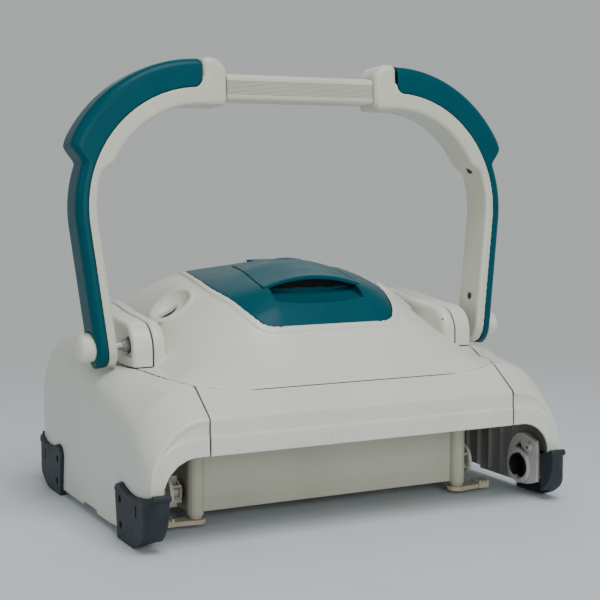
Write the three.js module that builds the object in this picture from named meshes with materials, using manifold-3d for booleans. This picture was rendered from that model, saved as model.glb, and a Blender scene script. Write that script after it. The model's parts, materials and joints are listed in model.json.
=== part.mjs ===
// Swimming-pool cleaner with a swinging carry handle. Millimetres, +Z up, front is -Y.
import * as THREE from 'three';
import { mergeVertices } from 'three/addons/utils/BufferGeometryUtils.js';
import Module from 'manifold-3d';

const wasm = await Module();
wasm.setup();

// ---- driving dimensions ------------------------------------------------------------------
const SLIVER = 0.06;             // flat enough to merge faces over
const GAP = 0.3;                 // clearance between neighbouring pieces
const SKIN = 3;                  // thickness of the moulded shells
const FRONT = 149;               // half length of the body, front face to rear face
const SIDE = 208;                // half width of the body over the side covers
const BEAM_HALF = 152;           // half length of the front and rear beams
const BEAM_UNDER = 76.5;         // height of the beams' lower edge above the floor
const BEAM_KINK = 108;           // height where the front face turns back into the sloped top
const REAR_KINK = 136;           // the same on the rear, which stands taller
const ARCH_R = 30;               // fillet of the brush opening's upper corner
const ARCH_X = 163;              // centre of that fillet
const PANEL_Y = 78;              // half distance between the front and rear panels
const POST_X = 137;              // half distance between the corner posts
const POST_R = 7.5;
const WALL_X = 142;              // inner side walls of the chassis
const HUB_Y = 58;                // fore and aft position of the wheel hubs
const HUB_Z = 28;
const STUB_R = 4;                // stub axles the wheel hubs turn on
const PIVOT_Y = -14;             // handle axis, parallel to X
const PIVOT_Z = 155;
const TILT = THREE.MathUtils.degToRad(3);  // the handle leans back a little at rest
const POD_IN = 147;              // inner and outer faces of the long pods that carry the pivots
const POD_OUT = 160;
const RAIL_OUT = 178.5;          // outer face of the pivot rail beside each pod
const BEND_X = 103;              // handle: centre of the elbow arc, seen from the front
const BEND_Z = 276;
const BEND_R = 110;
const ARM_LEAN = THREE.MathUtils.degToRad(7);
const ARM_HALF = 18.5;           // half depth of the arms
const PAD_OUT = 26.5;            // thickness of the teal cover over the elbow
const ARM_OUT = 10.5;            // thickness of the teal cover along the lower arm
const PAD_IN = 16;               // thickness of the white shell under the elbow
const ARM_IN = 8.5;
const NECK = THREE.MathUtils.degToRad(20);   // where the elbow pad steps down to the arm
const LIP = THREE.MathUtils.degToRad(25.5);
const GRIP_HALF = 77;            // half length of the grip bar between the collars
const GRIP_Z = 387.5;
const KNOB_R = 13;
const KNOB_FOOT = 199.5;         // inner end of the knob's stem, inside the arm's foot
const KNOB_STEM_R = 6;
const PIVOT_PIN_R = 4;           // steel pins the arms swing on
const PIVOT_BORE_R = PIVOT_PIN_R + 0.4;
const BUMPER_OUT = SIDE + 3;     // outer and front faces of the corner bumpers
const BUMPER_FRONT = FRONT + 8;
const BUMPER_THICK = 6;
const LID_FRONT = -37;
const LID_REAR = 46;
const LID_HALF = 51;

// ---- materials ---------------------------------------------------------------------------
const plastic = (color, roughness) =>
  new THREE.MeshStandardMaterial({ color, roughness, metalness: 0 });
const WHITE = plastic(0xe2e2da, 0.35);
const CREAM = plastic(0xc9c8b4, 0.45);
const GREY = plastic(0x8f9294, 0.5);
const TEAL = plastic(0x04616c, 0.4);
const SLATE = plastic(0x36424c, 0.6);
const BEIGE = plastic(0xb9ab8c, 0.55);
const MESHY = plastic(0xd5dbe0, 0.7);
const BLACK = plastic(0x1d1f21, 0.5);
const STEEL = new THREE.MeshStandardMaterial({ color: 0xb9bcc0, roughness: 0.3, metalness: 0.9 });

// ---- small helpers -----------------------------------------------------------------------
function positive(geometry) {
  const p = geometry.attributes.position;
  const index = geometry.index.array;
  const a = new THREE.Vector3();
  const b = new THREE.Vector3();
  const c = new THREE.Vector3();
  let volume = 0;
  for (let i = 0; i < index.length; i += 3) {
    a.fromBufferAttribute(p, index[i]);
    b.fromBufferAttribute(p, index[i + 1]);
    c.fromBufferAttribute(p, index[i + 2]);
    volume += a.dot(b.cross(c));
  }
  if (volume < 0) {
    for (let i = 0; i < index.length; i += 3) {
      const swap = index[i];
      index[i] = index[i + 1];
      index[i + 1] = swap;
    }
  }
  return geometry;
}

function solid(source) {
  source.deleteAttribute('normal');
  source.deleteAttribute('uv');
  const geometry = positive(mergeVertices(source, 1e-4));
  return new wasm.Manifold(new wasm.Mesh({
    numProp: 3,
    vertProperties: new Float32Array(geometry.attributes.position.array),
    triVerts: new Uint32Array(geometry.index.array),
  }));
}

function geometryOf(body) {
  const mesh = body.getMesh();
  const geometry = new THREE.BufferGeometry();
  geometry.setAttribute('position', new THREE.BufferAttribute(mesh.vertProperties, 3));
  geometry.setIndex(new THREE.BufferAttribute(mesh.triVerts, 1));
  geometry.computeVertexNormals();
  return geometry;
}

const group = new THREE.Group();
function piece(name, body, material) {
  const mesh = new THREE.Mesh(geometryOf(body.simplify(SLIVER)), material.clone());
  mesh.name = name;
  group.add(mesh);
}

const box = (x0, x1, y0, y1, z0, z1) => solid(new THREE.BoxGeometry(x1 - x0, y1 - y0, z1 - z0)
  .translate((x0 + x1) / 2, (y0 + y1) / 2, (z0 + z1) / 2));

// a cylinder (or cone) along X, Y or Z between two positions
function rod(axis, from, to, centre, r0, r1 = r0, segments = 16) {
  const g = new THREE.CylinderGeometry(r1, r0, to - from, segments);
  const middle = (from + to) / 2;
  if (axis === 'x') g.rotateZ(-Math.PI / 2).translate(middle, centre[0], centre[1]);
  if (axis === 'y') g.translate(centre[0], middle, centre[1]);
  if (axis === 'z') g.rotateX(Math.PI / 2).translate(centre[0], centre[1], middle);
  return solid(g);
}

// a flat outline pushed along one axis; outlines are drawn in (y,z), (x,z) or (x,y)
function prism(axis, outline, from, to, bevel = 0) {
  const g = new THREE.ExtrudeGeometry(outline, {
    depth: to - from - 2 * bevel,
    bevelEnabled: bevel > 0,
    bevelSize: bevel,
    bevelOffset: -bevel,
    bevelThickness: bevel,
    bevelSegments: 1,
    curveSegments: 6,
  });
  g.translate(0, 0, from + bevel);
  if (axis === 'x') g.applyMatrix4(new THREE.Matrix4().set(0, 0, 1, 0, 1, 0, 0, 0, 0, 1, 0, 0, 0, 0, 0, 1));
  if (axis === 'y') g.applyMatrix4(new THREE.Matrix4().set(1, 0, 0, 0, 0, 0, 1, 0, 0, 1, 0, 0, 0, 0, 0, 1));
  return solid(g.index ? g : mergeVertices(g));
}

// skins a row of closed loops (equal point counts) and closes both ends
function loft(loops) {
  const count = loops[0].length;
  const positions = loops.flat().flatMap((p) => [p.x, p.y, p.z]);
  const index = [];
  for (let i = 0; i + 1 < loops.length; i += 1) {
    for (let j = 0; j < count; j += 1) {
      const a = i * count + j;
      const b = i * count + (j + 1) % count;
      index.push(a, b, a + count, b, b + count, a + count);
    }
  }
  const cap = (start, loop, flip) => {
    const normal = new THREE.Vector3();
    loop.forEach((p, j) => normal.add(new THREE.Vector3().crossVectors(p, loop[(j + 1) % count])));
    normal.normalize();
    const u = loop[1].clone().sub(loop[0]).normalize();
    const v = new THREE.Vector3().crossVectors(normal, u);
    const flat = loop.map((p) => new THREE.Vector2(p.dot(u), p.dot(v)));
    THREE.ShapeUtils.triangulateShape(flat, []).forEach(([a, b, c]) => {
      if (flip) index.push(start + a, start + c, start + b);
      else index.push(start + a, start + b, start + c);
    });
  };
  cap(0, loops[0], true);
  cap((loops.length - 1) * count, loops[loops.length - 1], false);
  const g = new THREE.BufferGeometry();
  g.setAttribute('position', new THREE.Float32BufferAttribute(positions, 3));
  g.setIndex(index);
  return solid(g);
}

// smooth function through [position, value] pairs that never overshoots them
function through(...pairs) {
  const n = pairs.length;
  const step = [];
  for (let i = 0; i + 1 < n; i += 1) {
    step.push((pairs[i + 1][1] - pairs[i][1]) / (pairs[i + 1][0] - pairs[i][0]));
  }
  const slope = pairs.map((_, i) => {
    if (i === 0) return step[0];
    if (i === n - 1) return step[n - 2];
    if (step[i - 1] * step[i] <= 0) return 0;
    return 2 / (1 / step[i - 1] + 1 / step[i]);
  });
  return (at) => {
    const x = THREE.MathUtils.clamp(at, pairs[0][0], pairs[n - 1][0]);
    let i = 0;
    while (i < n - 2 && x > pairs[i + 1][0]) i += 1;
    const width = pairs[i + 1][0] - pairs[i][0];
    const t = (x - pairs[i][0]) / width;
    const t2 = t * t;
    const t3 = t2 * t;
    return (2 * t3 - 3 * t2 + 1) * pairs[i][1] + (t3 - 2 * t2 + t) * width * slope[i]
      + (3 * t2 - 2 * t3) * pairs[i + 1][1] + (t3 - t2) * width * slope[i + 1];
  };
}

const v3 = (x, y, z) => new THREE.Vector3(x, y, z);
const steps = (from, to, count) =>
  Array.from({ length: count + 1 }, (_, i) => from + ((to - from) * i) / count);
const mirrored = (body) => body.mirror([1, 0, 0]);
// a span on the right (side 1) or its mirror image on the left (side -1)
const span = (side, near, far) => (side > 0 ? [near, far] : [-far, -near]);
const minus = (body, ...tools) => tools.reduce((left, tool) => left.subtract(tool), body);
const plus = (body, ...more) => more.reduce((left, tool) => left.add(tool), body);

// ---- the body's curved skin --------------------------------------------------------------
// half width of the dome along the seam it shares with the beams and side covers
const seamX = through([-124, 119.5], [-120.5, 131], [-115, BEAM_HALF], [-75, 164],
  [-40, 176], [-10, 180], [40, 180], [90, 176], [122, 165], [128, BEAM_HALF]);
const seamZ = through([-124, 125], [-115, 130.5], [-75, 133], [-40, 137], [-10, 136],
  [40, 146], [90, 158], [122, 153.5], [128, 149]);
// heights of the hump over the centre, a quarter out, the outlet cover's edge and the valley
const humpCentre = through([-124, 125], [-100, 147], [-75, 171], [-61, 188], [-36, 210],
  [-10, 219], [14, 224], [45, 223], [73, 220], [92, 216], [108, 198], [120, 168], [128, 148]);
const humpMiddle = through([-124, 125], [-100, 147], [-75, 171], [-61, 187], [-36, 204],
  [-10, 211], [14, 216], [45, 217.5], [73, 216], [92, 213], [108, 195], [120, 166], [128, 148]);
const humpEdge = through([-124, 125], [-100, 144], [-75, 165], [-48, 189], [4, 202],
  [45, 208], [73, 210.5], [92, 209], [108, 190], [120, 164], [128, 148]);
const humpValley = through([-124, 125], [-75, 149], [-35, 163], [-5, 173], [20, 182],
  [60, 189], [92, 191], [108, 178], [120, 160], [128, 148]);
const podTop = through([-14, 177], [30, 181], [79, 187], [98, 187], [112, 178], [122, 160]);

function humpHeight(x, y) {
  const rim = Math.min(seamX(y), POD_OUT - 2);
  const across = through([-45, humpMiddle(y)], [0, humpCentre(y)], [45, humpMiddle(y)],
    [85, humpEdge(y)],
    [Math.min(128, rim - 6), humpValley(y)], [rim, seamZ(y)]);
  return across(Math.abs(x));
}

const DOME_Y = [-123.7, -115, -100, -84, -68, -54, -38, -18, 6, 34, 62, 86, 100, 110, 119,
  127.7];

// the hump over |x| <= halfWidth(y), from a floor up to the skin lowered by `sink`
function humpBody(halfWidth, sink, floor, rows = DOME_Y, columns = 12) {
  return loft(rows.map((y) => {
    const w = halfWidth(y);
    const top = steps(-w, w, columns).map((x) => v3(x, y, humpHeight(x, y) - sink));
    return [...top, v3(w, y, floor), v3(-w, y, floor)];
  }));
}

// the low ledge under the rails, filling the seam outline
function ledgeBody(inset, sink, floor, rows) {
  return loft(rows.map((y) => {
    const w = seamX(y) - inset;
    const z = seamZ(y) - sink;
    return [v3(-w, y, z), v3(w, y, z), v3(w, y, floor), v3(-w, y, floor)];
  }));
}

// side view of the pods and rails: round nose about the pivot, long rising top, steep tail
function podOutline(inset, foot) {
  const nose = 26 - inset;
  const shape = new THREE.Shape();
  shape.moveTo(PIVOT_Y - nose, foot);
  shape.lineTo(PIVOT_Y - nose, 151);
  shape.absarc(PIVOT_Y, 151, nose, Math.PI, Math.PI / 2, true);
  steps(0, 120 - inset, 10).slice(1).forEach((y) => shape.lineTo(y, podTop(y) - inset));
  shape.lineTo(122 - inset, foot);
  shape.closePath();
  return shape;
}

function pod(inset) {
  return prism('x', podOutline(inset, 120 + inset), POD_IN + inset, POD_OUT - GAP / 2 - inset,
    inset ? 0 : 5);
}

// ---- outlet cover and lid, both following the hump ----------------------------------------
const coverX = through([-75, 57], [-73.5, 63], [-70, 70], [-48, 80], [4, 86], [63, 84],
  [84, 79], [91, 70], [94, 60]);
const COVER_Y = [-75, -74, -72, -68, -61, -52, -42, -30, -14, 6, 30, 54, 76, 87, 92, 94];

function coverBody(grow, lift, sink) {
  return loft(COVER_Y.map((y, i) => {
    const ends = i === 0 ? -grow : grow;
    const yy = i === 0 || i === COVER_Y.length - 1 ? y + ends : y;
    const w = coverX(y) + grow;
    const across = steps(-w, w, 10);
    const top = across.map((x) => v3(x, yy, humpHeight(x, yy) + lift));
    const under = across.reverse().map((x) => v3(x, yy, humpHeight(x, yy) - sink));
    return [...top, ...under];
  }));
}

function lidBody(grow, lift, sink) {
  return loft(steps(LID_FRONT - grow, LID_REAR + grow, 6).map((y) => {
    const w = LID_HALF + grow - 6 * Math.max(0, (y - LID_FRONT) / (LID_REAR - LID_FRONT)) ** 2;
    const across = steps(-w, w, 8);
    const lip = 2.5 * Math.max(0, (LID_FRONT + 14 - y) / 14);
    const top = across.map((x) => v3(x, y, humpHeight(x, y) + lift + lip));
    const under = across.reverse().map((x) => v3(x, y, humpHeight(x, y) - sink + lip));
    return [...top, ...under];
  }));
}

// finger scoop in front of the lid, a squashed ball; `wall` grows it for its liner
function scoop(wall) {
  return solid(new THREE.SphereGeometry(1, 16, 8).scale(50 + wall, 27 + wall, 15 + wall)
    .translate(0, LID_FRONT - 1, 203));
}

const lidHole = box(-41, 41, -26, 36, 150, 260);
const HINGE_Y = LID_REAR + 4;    // just behind the lid, so its rear edge lifts clear
const HINGE_Z = humpHeight(0, HINGE_Y) - 1;
const HINGE_PIN_R = 1.5;
const HINGE_BORE_R = HINGE_PIN_R + 0.25;
const KNUCKLE_R = 3.2;
const KNUCKLE_HALF = 22;         // half width of the lid's knuckle
const LUG_END = 30;              // outer end of the cover's two lugs
const PIN_HALF = LUG_END - 0.5;

function outletCover() {
  const skin = coverBody(0, 1.2, 6);
  const liner = scoop(3).intersect(coverBody(0, 1, 40)).subtract(box(-60, 60, -26, 60, 150, 260));
  const lugs = [-LUG_END, KNUCKLE_HALF + GAP].map((x) => {
    const end = x + LUG_END - KNUCKLE_HALF - GAP;
    return plus(rod('x', x, end, [HINGE_Y, HINGE_Z], KNUCKLE_R),
      box(x, end, HINGE_Y - 2.4, HINGE_Y + 2.4, HINGE_Z - 6, HINGE_Z));
  });
  const seat = lidBody(GAP + 0.2, 8, 2.4);
  const well = KNUCKLE_R + 1.6;
  const hingeWell = box(-KNUCKLE_HALF - GAP, KNUCKLE_HALF + GAP, HINGE_Y - well, HINGE_Y + well,
    HINGE_Z - 20, HINGE_Z + 20);
  const pinHole = rod('x', -PIN_HALF - GAP, PIN_HALF + GAP, [HINGE_Y, HINGE_Z], HINGE_BORE_R);
  const base = minus(plus(skin, liner), seat, lidHole, scoop(0), hingeWell);
  return minus(plus(base, ...lugs), pinHole);
}

function outletLid() {
  const knuckle = rod('x', -KNUCKLE_HALF, KNUCKLE_HALF, [HINGE_Y, HINGE_Z], KNUCKLE_R);
  const web = box(-KNUCKLE_HALF, KNUCKLE_HALF, LID_REAR - 2, HINGE_Y, HINGE_Z - 1, HINGE_Z + 2);
  const medallion = solid(new THREE.SphereGeometry(1, 18, 6).scale(34, 24, 7)
    .translate(0, 6, humpHeight(0, 6) - 4));
  const bore = rod('x', -KNUCKLE_HALF - 1, KNUCKLE_HALF + 1, [HINGE_Y, HINGE_Z], HINGE_BORE_R);
  return minus(plus(lidBody(0, 1.6, 2), knuckle, web, medallion), bore);
}

// ---- dome --------------------------------------------------------------------------------
const DOME_FOOT = 112;            // lower edge of the dome, inside the beams and side covers
const innerRows = DOME_Y.filter((y) => y > -119 && y < 122);

// oval dish low on the flank, its long way up the slope between the pod and the outlet cover
const DISH_X = -123;
const DISH_Y = 11;

function recess(wall) {
  const centre = v3(DISH_X, DISH_Y, humpHeight(DISH_X, DISH_Y));
  const across = (humpHeight(DISH_X + 12, DISH_Y) - humpHeight(DISH_X - 12, DISH_Y)) / 24;
  const along = (humpHeight(DISH_X, DISH_Y + 15) - humpHeight(DISH_X, DISH_Y - 15)) / 30;
  return solid(new THREE.SphereGeometry(1, 14, 8).scale(20 + wall, 16 + wall, 9 + wall)
    .rotateX(Math.atan(along)).rotateY(-Math.atan(across))
    .translate(centre.x, centre.y, centre.z));
}

function dome() {
  const foot = DOME_FOOT;
  const outside = plus(humpBody((y) => Math.min(seamX(y), POD_OUT - 2) - GAP, 0, foot),
    ledgeBody(GAP, 0, foot, DOME_Y), pod(0), mirrored(pod(0)));
  const inside = plus(
    humpBody((y) => Math.min(seamX(y), POD_OUT - 2) - 2 * SKIN, SKIN, foot - 9, innerRows, 8),
    ledgeBody(2 * SKIN, SKIN, foot - 9, innerRows));
  const hole = coverBody(GAP + 0.1, 20, 40);
  const liners = [recess(2.5), mirrored(recess(2.5))];
  const shell = minus(outside, minus(inside, ...liners), hole, recess(0), mirrored(recess(0)));
  const seats = [1, -1].map((side) => rod('x', ...span(side, POD_IN + 12, POD_OUT + 10),
    [PIVOT_Y, PIVOT_Z], PIVOT_BORE_R));
  return minus(shell, ...seats);
}

// ---- pivot rails -------------------------------------------------------------------------
function rail() {
  const foot = 130;
  const rearCut = 112;           // the tail stops here, where the dome turns down
  const body = prism('x', podOutline(0.6, foot), POD_OUT + GAP / 2, RAIL_OUT, 3);
  const pocket = prism('x', podOutline(8, 146), RAIL_OUT - 4, RAIL_OUT + 5);
  const bore = rod('x', POD_OUT - 10, RAIL_OUT + 12, [PIVOT_Y, PIVOT_Z], PIVOT_BORE_R);
  const pinWell = rod('x', RAIL_OUT - 9, RAIL_OUT + 5, [PIVOT_Y, PIVOT_Z], 7.5);
  const ledge = ledgeBody(-20, -2 * GAP, foot - 30, DOME_Y);
  const tail = box(POD_OUT - 10, RAIL_OUT + 12, rearCut, rearCut + 30, foot - 30, foot + 70);
  return minus(body, pocket, bore, pinWell, ledge, tail);
}

// ---- side covers -------------------------------------------------------------------------
const coverSeamX = through([-FRONT, BEAM_HALF], [-115, BEAM_HALF], [-75, 164], [-40, 176],
  [-10, 180], [40, 180], [90, 176], [122, 165], [128, BEAM_HALF], [FRONT, BEAM_HALF]);
const coverSeamZ = through([-FRONT, BEAM_KINK], [-124, 125], [-115, 130.5], [-75, 133],
  [-40, 137], [-10, 136], [40, 146], [90, 158], [122, 153.5], [128, 149],
  [FRONT, REAR_KINK]);
const sideTop = through([-FRONT, 51], [-137, 64], [-124, 75], [-107, 88], [-87, 99],
  [-60, 107], [-35, 111], [0, 117], [40, 123], [80, 128], [115, 123], [138, 108], [FRONT, 96]);
const sideX = through([-FRONT, 204.5], [-120, 207.5], [-60, SIDE], [60, SIDE], [125, SIDE],
  [FRONT, 206]);
const COVER_FOOT = 6;             // lower edge of the side covers above the floor
const COVER_ROWS = [-FRONT, -142, -131, -115, -95, -70, -38, 0, 40, 80, 108, 121, 129, 142, FRONT];

// profile from the seam over the shoulder and down the side, in the plane of one row
function coverProfile(y, inset) {
  const xs = coverSeamX(y) + GAP;
  const zs = coverSeamZ(y) - inset;
  const xo = sideX(y) - inset;
  const zc = sideTop(y);
  const shoulder = steps(0, Math.PI / 2, 6).map((a) => {
    const s = Math.sin(a) ** 0.94;
    const c = Math.cos(a) ** 0.94;
    return v3(xs + (xo - xs) * s, y, zc + (zs - zc) * c);
  });
  return [...shoulder, v3(xo, y, COVER_FOOT)];
}

function coverSkin() {
  return loft(COVER_ROWS.map((y) => [...coverProfile(y, 0),
    ...coverProfile(y, SKIN).reverse()]));
}

// end plate between the brush opening's arch and the skin
function endPlate(face) {
  const rear = face > 0;
  const y0 = rear ? FRONT - SKIN : -FRONT;
  const row = rear ? FRONT - 0.01 : -FRONT + 0.01;
  const shape = new THREE.Shape();
  shape.moveTo(BEAM_HALF + GAP, BEAM_UNDER);
  shape.lineTo(ARCH_X, BEAM_UNDER);
  shape.absarc(ARCH_X, BEAM_UNDER - ARCH_R, ARCH_R, Math.PI / 2, 0, true);
  shape.lineTo(ARCH_X + ARCH_R, COVER_FOOT);
  const edge = coverProfile(row, 1).reverse();
  edge.forEach((p) => shape.lineTo(p.x, p.z));
  shape.closePath();
  return prism('y', shape, y0, y0 + SKIN);
}

const domeClear = (() => {
  const rows = [-124, ...DOME_Y, 128];
  return ledgeBody(0, -20, 60, rows.filter((y, i) => i === 0 || y > rows[i - 1]));
})();

// side view of a bumper: its top dips behind a crest at the front edge
function bumperOutline(grow) {
  const rear = -78 + grow;
  const front = -BUMPER_FRONT - 1 - grow;
  const dip = 42.5 + grow;
  const crest = 49 + grow;
  const shape = new THREE.Shape();
  shape.moveTo(rear - 5, -1 - grow);
  shape.lineTo(rear, 38);
  shape.quadraticCurveTo(rear, crest - 1, -92, crest - 1);
  shape.quadraticCurveTo(-104, dip + 0.5, -118, dip);
  shape.quadraticCurveTo(-138, dip, -148, crest - 3);
  shape.lineTo(front, crest);
  shape.lineTo(front, -1 - grow);
  shape.closePath();
  return shape;
}

// plan of the wrap-round bumper: front leg, rounded corner, side leg
function bumperPlan(grow, thick) {
  const outer = BUMPER_OUT + grow;
  const inner = outer - thick;
  const front = -BUMPER_FRONT - grow;
  const arch = ARCH_X + ARCH_R - 1.5 - grow;     // end of the front leg, at the brush opening
  const corner = 14;
  const backOfLeg = -FRONT + 10;
  const shape = new THREE.Shape();
  shape.moveTo(arch, front);
  shape.lineTo(outer - corner, front);
  shape.absarc(outer - corner, front + corner, corner, -Math.PI / 2, 0, false);
  shape.lineTo(outer, -70);
  shape.lineTo(inner, -70);
  shape.lineTo(inner, backOfLeg + 11);
  shape.quadraticCurveTo(inner, backOfLeg + 1, inner - 8, backOfLeg);
  shape.lineTo(arch, backOfLeg);
  shape.closePath();
  return shape;
}

const inBumper = [BUMPER_OUT - 31, BUMPER_OUT + 9];   // reach of the cutting tools along X

function bumperShape(grow, thick, rounded = true) {
  const wrap = prism('z', bumperPlan(grow, thick), -1 - grow, 60);
  const side = prism('x', bumperOutline(grow), ...inBumper);
  const heelRadius = 46;
  const heelY = -112;
  const rocker = rod('x', ...inBumper, [heelY, heelRadius], heelRadius + grow,
    heelRadius + grow, 28);
  const upper = box(...inBumper, -170, -60, 24, 80);
  const heel = box(...inBumper, heelY, -60, 0, 80);
  const blank = wrap.intersect(side);
  return rounded ? blank.intersect(plus(rocker, upper, heel)) : blank;
}

const BUMPER_SCREWS = [[-90, 35], [-92, 13]];
const BUMPER_ROLL = [-155, 47.5];  // rolled bead along the crest

function bumper() {
  const bead = rod('x', BUMPER_OUT - 21, BUMPER_OUT - 5, BUMPER_ROLL, 3, 3, 12);
  const slot = box(BUMPER_OUT - 3.5, BUMPER_OUT + 4, -131, -128, 28, 38);
  const holes = BUMPER_SCREWS.map((at) => rod('x', ...inBumper, at, 3.2, 3.2, 12));
  return minus(plus(bumperShape(0, BUMPER_THICK), bead), slot, ...holes);
}

function bumperScrew(at) {
  const underHead = BUMPER_OUT - 4;
  return plus(rod('x', underHead, underHead + 2.2, at, 2.9, 2.9, 10),
    rod('x', underHead - 9, underHead + 0.5, at, 1.6, 1.6, 8));
}

const mirrorY = (body) => body.mirror([0, 1, 0]);

function sideCover() {
  const pocket = plus(bumperShape(GAP, BUMPER_THICK + 2 * GAP, false),
    rod('x', ...inBumper, BUMPER_ROLL, 3 + GAP, 3 + GAP, 12));
  const screws = BUMPER_SCREWS.map((at) => rod('x', ...inBumper, at, 1.9, 1.9, 12));
  const corner = plus(pocket, ...screws);
  const sill = box(SIDE - 8, SIDE + 7, -20, 20, 0, COVER_FOOT + 3);
  return minus(plus(coverSkin(), endPlate(-1), endPlate(1)), corner, mirrorY(corner), sill,
    domeClear);
}

// ---- beams -------------------------------------------------------------------------------
// section of a beam: face, kink and sloped top meeting the dome, drawn toward -Y
function beamOutline(kink, seamY, seam) {
  const face = -FRONT;
  const sill = BEAM_UNDER + 15.5;  // the face above this line stands 1 mm further back
  const shape = new THREE.Shape();
  shape.moveTo(face, BEAM_UNDER);
  shape.lineTo(face, sill);
  shape.lineTo(face + 1, sill + 1);
  shape.lineTo(face + 1, kink);
  shape.lineTo(-seamY + GAP, seam);
  shape.lineTo(-seamY + GAP, seam - SKIN - 1);
  shape.lineTo(face + SKIN + 2, kink - SKIN);
  shape.lineTo(face + SKIN + 1, BEAM_UNDER);
  shape.closePath();
  return shape;
}

function beam(kink, seamY, seam, flip) {
  const half = BEAM_HALF - GAP;
  const rise = (seam - kink) / (FRONT - 1 - seamY);      // slope of the top, up to the dome
  const outline = beamOutline(kink, seamY - 12, seam + 12 * rise);
  const front = prism('x', outline, -half, half);
  const ribs = steps(-half + 25, half - 25, 9).map((x) => box(x - 0.6, x + 0.6,
    -FRONT - 0.5, -FRONT + 2, BEAM_UNDER + 1, BEAM_UNDER + 13.5));
  const body = plus(front, ...ribs);
  return minus(flip ? mirrorY(body) : body, domeClear);
}

// ---- chassis and the running gear ----------------------------------------------------------
const CHASSIS_FLOOR = 12;
const CHASSIS_TOP = 104;
const MOTOR_R = 25.5;
const MOTOR_FLANGE_R = 34;
const SHAFT_R = 3;
const INLET_Y = 38;              // half distance between the two suction inlets
const FLAP_HINGE_Y = 51;
const LATCH_STEM_R = 2.5;
const LATCH_UNDER = 3;           // underside of the latch tongues above the floor
const FOUR_CORNERS = [[1, 1], [1, -1], [-1, 1], [-1, -1]];

// open box with four corner posts, stub axles, side decks and a bridge that holds the motor
function chassis() {
  const shelf = CHASSIS_TOP - SKIN;
  const outer = box(-WALL_X, WALL_X, -PANEL_Y, PANEL_Y, CHASSIS_FLOOR, CHASSIS_TOP);
  const inner = box(-WALL_X + SKIN, WALL_X - SKIN, -PANEL_Y + SKIN, PANEL_Y - SKIN,
    CHASSIS_FLOOR - 5, CHASSIS_TOP + 5);
  const bridge = box(-WALL_X + 1, WALL_X - 1, -MOTOR_FLANGE_R, MOTOR_FLANGE_R, shelf - 5, shelf);
  const motorHole = rod('z', shelf - 9, shelf + 5, [0, 0], MOTOR_R + 1.5);
  const decks = [1, -1].map((side) => box(...span(side, WALL_X - 1, WALL_X + 34), -70, 70,
    shelf - SKIN, shelf));
  const posts = FOUR_CORNERS.map(([sx, sy]) =>
    rod('z', CHASSIS_FLOOR - 1.5, CHASSIS_TOP, [sx * POST_X, sy * PANEL_Y], POST_R));
  const bores = FOUR_CORNERS.map(([sx, sy]) =>
    rod('z', 5, 24, [sx * POST_X, sy * PANEL_Y], LATCH_STEM_R + GAP, LATCH_STEM_R + GAP, 12));
  const stubs = FOUR_CORNERS.map(([sx, sy]) =>
    rod('x', ...span(sx, WALL_X - 1, WALL_X + 18), [sy * HUB_Y, HUB_Z], STUB_R, STUB_R, 12));
  return minus(plus(outer.subtract(inner), ...posts, ...stubs, bridge, ...decks),
    ...bores, motorHole);
}

function wheelHub() {
  const back = WALL_X + 2;
  const face = back + 11;
  const at = [-HUB_Y, HUB_Z];
  const disc = rod('x', face, face + 3, at, 15, 15, 20);
  const barrel = rod('x', back, face + 1, at, 7, 7, 12);
  const flange = rod('x', back + 1, back + 3, at, 10, 10, 6);
  const ribs = steps(0, 300, 5).map((angle) => box(back + 2.5, face + 1, -0.7, 0.7, 6, 14)
    .rotate([angle, 0, 0]).translate([0, -HUB_Y, HUB_Z]));
  const bore = rod('x', back - 1, back + 20, at, STUB_R + GAP, STUB_R + GAP, 12);
  return minus(plus(disc, barrel, flange, ...ribs), bore);
}

const PLATE_IN = 190;            // inner face of the bearing plates
const EYE = [-110, 28];          // centre of their oval eye

function plateOutline() {
  const rear = -90;
  const front = -134;
  const shape = new THREE.Shape();
  shape.moveTo(rear, 14);
  shape.quadraticCurveTo(rear + 6, 30, rear - 2, 46);
  shape.quadraticCurveTo(-100, 60, -114, 60);
  shape.lineTo(front + 2, 55);
  shape.lineTo(front, 40);
  shape.lineTo(front, 16);
  shape.quadraticCurveTo(-112, 6, rear, 14);
  return shape;
}

function plateWindow() {
  const edge = new THREE.Path();
  edge.moveTo(-100, 45);
  edge.lineTo(-108, 52);
  edge.lineTo(-112, 43);
  edge.closePath();
  return edge;
}

function bearingPlate() {
  const [eyeY, eyeZ] = EYE;
  const shape = plateOutline();
  const eye = new THREE.Path();
  eye.absellipse(eyeY, eyeZ, 14, 12, 0, Math.PI * 2, true);
  shape.holes.push(eye, plateWindow());
  const plate = prism('x', shape, PLATE_IN, PLATE_IN + 4);
  const ellipse = (length, z, y) => solid(new THREE.CylinderGeometry(1, 1, length, 14)
    .rotateZ(Math.PI / 2).scale(1, z, y).translate(PLATE_IN - 0.5, eyeY, eyeZ));
  const ring = minus(ellipse(7, 15.5, 17), ellipse(12, 11.5, 13.5));
  const bossAt = [-124, 48];
  const boss = minus(rod('x', PLATE_IN - 4, PLATE_IN + 3, bossAt, 4, 4, 12),
    rod('x', PLATE_IN - 6, PLATE_IN, bossAt, 1.8, 1.8, 8));
  const foot = box(PLATE_IN + 3, SIDE - SKIN - 1.8, -125, -96, 16, 40);
  const bearing = rod('x', PLATE_IN - 10, PLATE_IN + 9, EYE, 11, 11, 14);
  return minus(plus(plate, ring, boss, foot), bearing);
}

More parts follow.
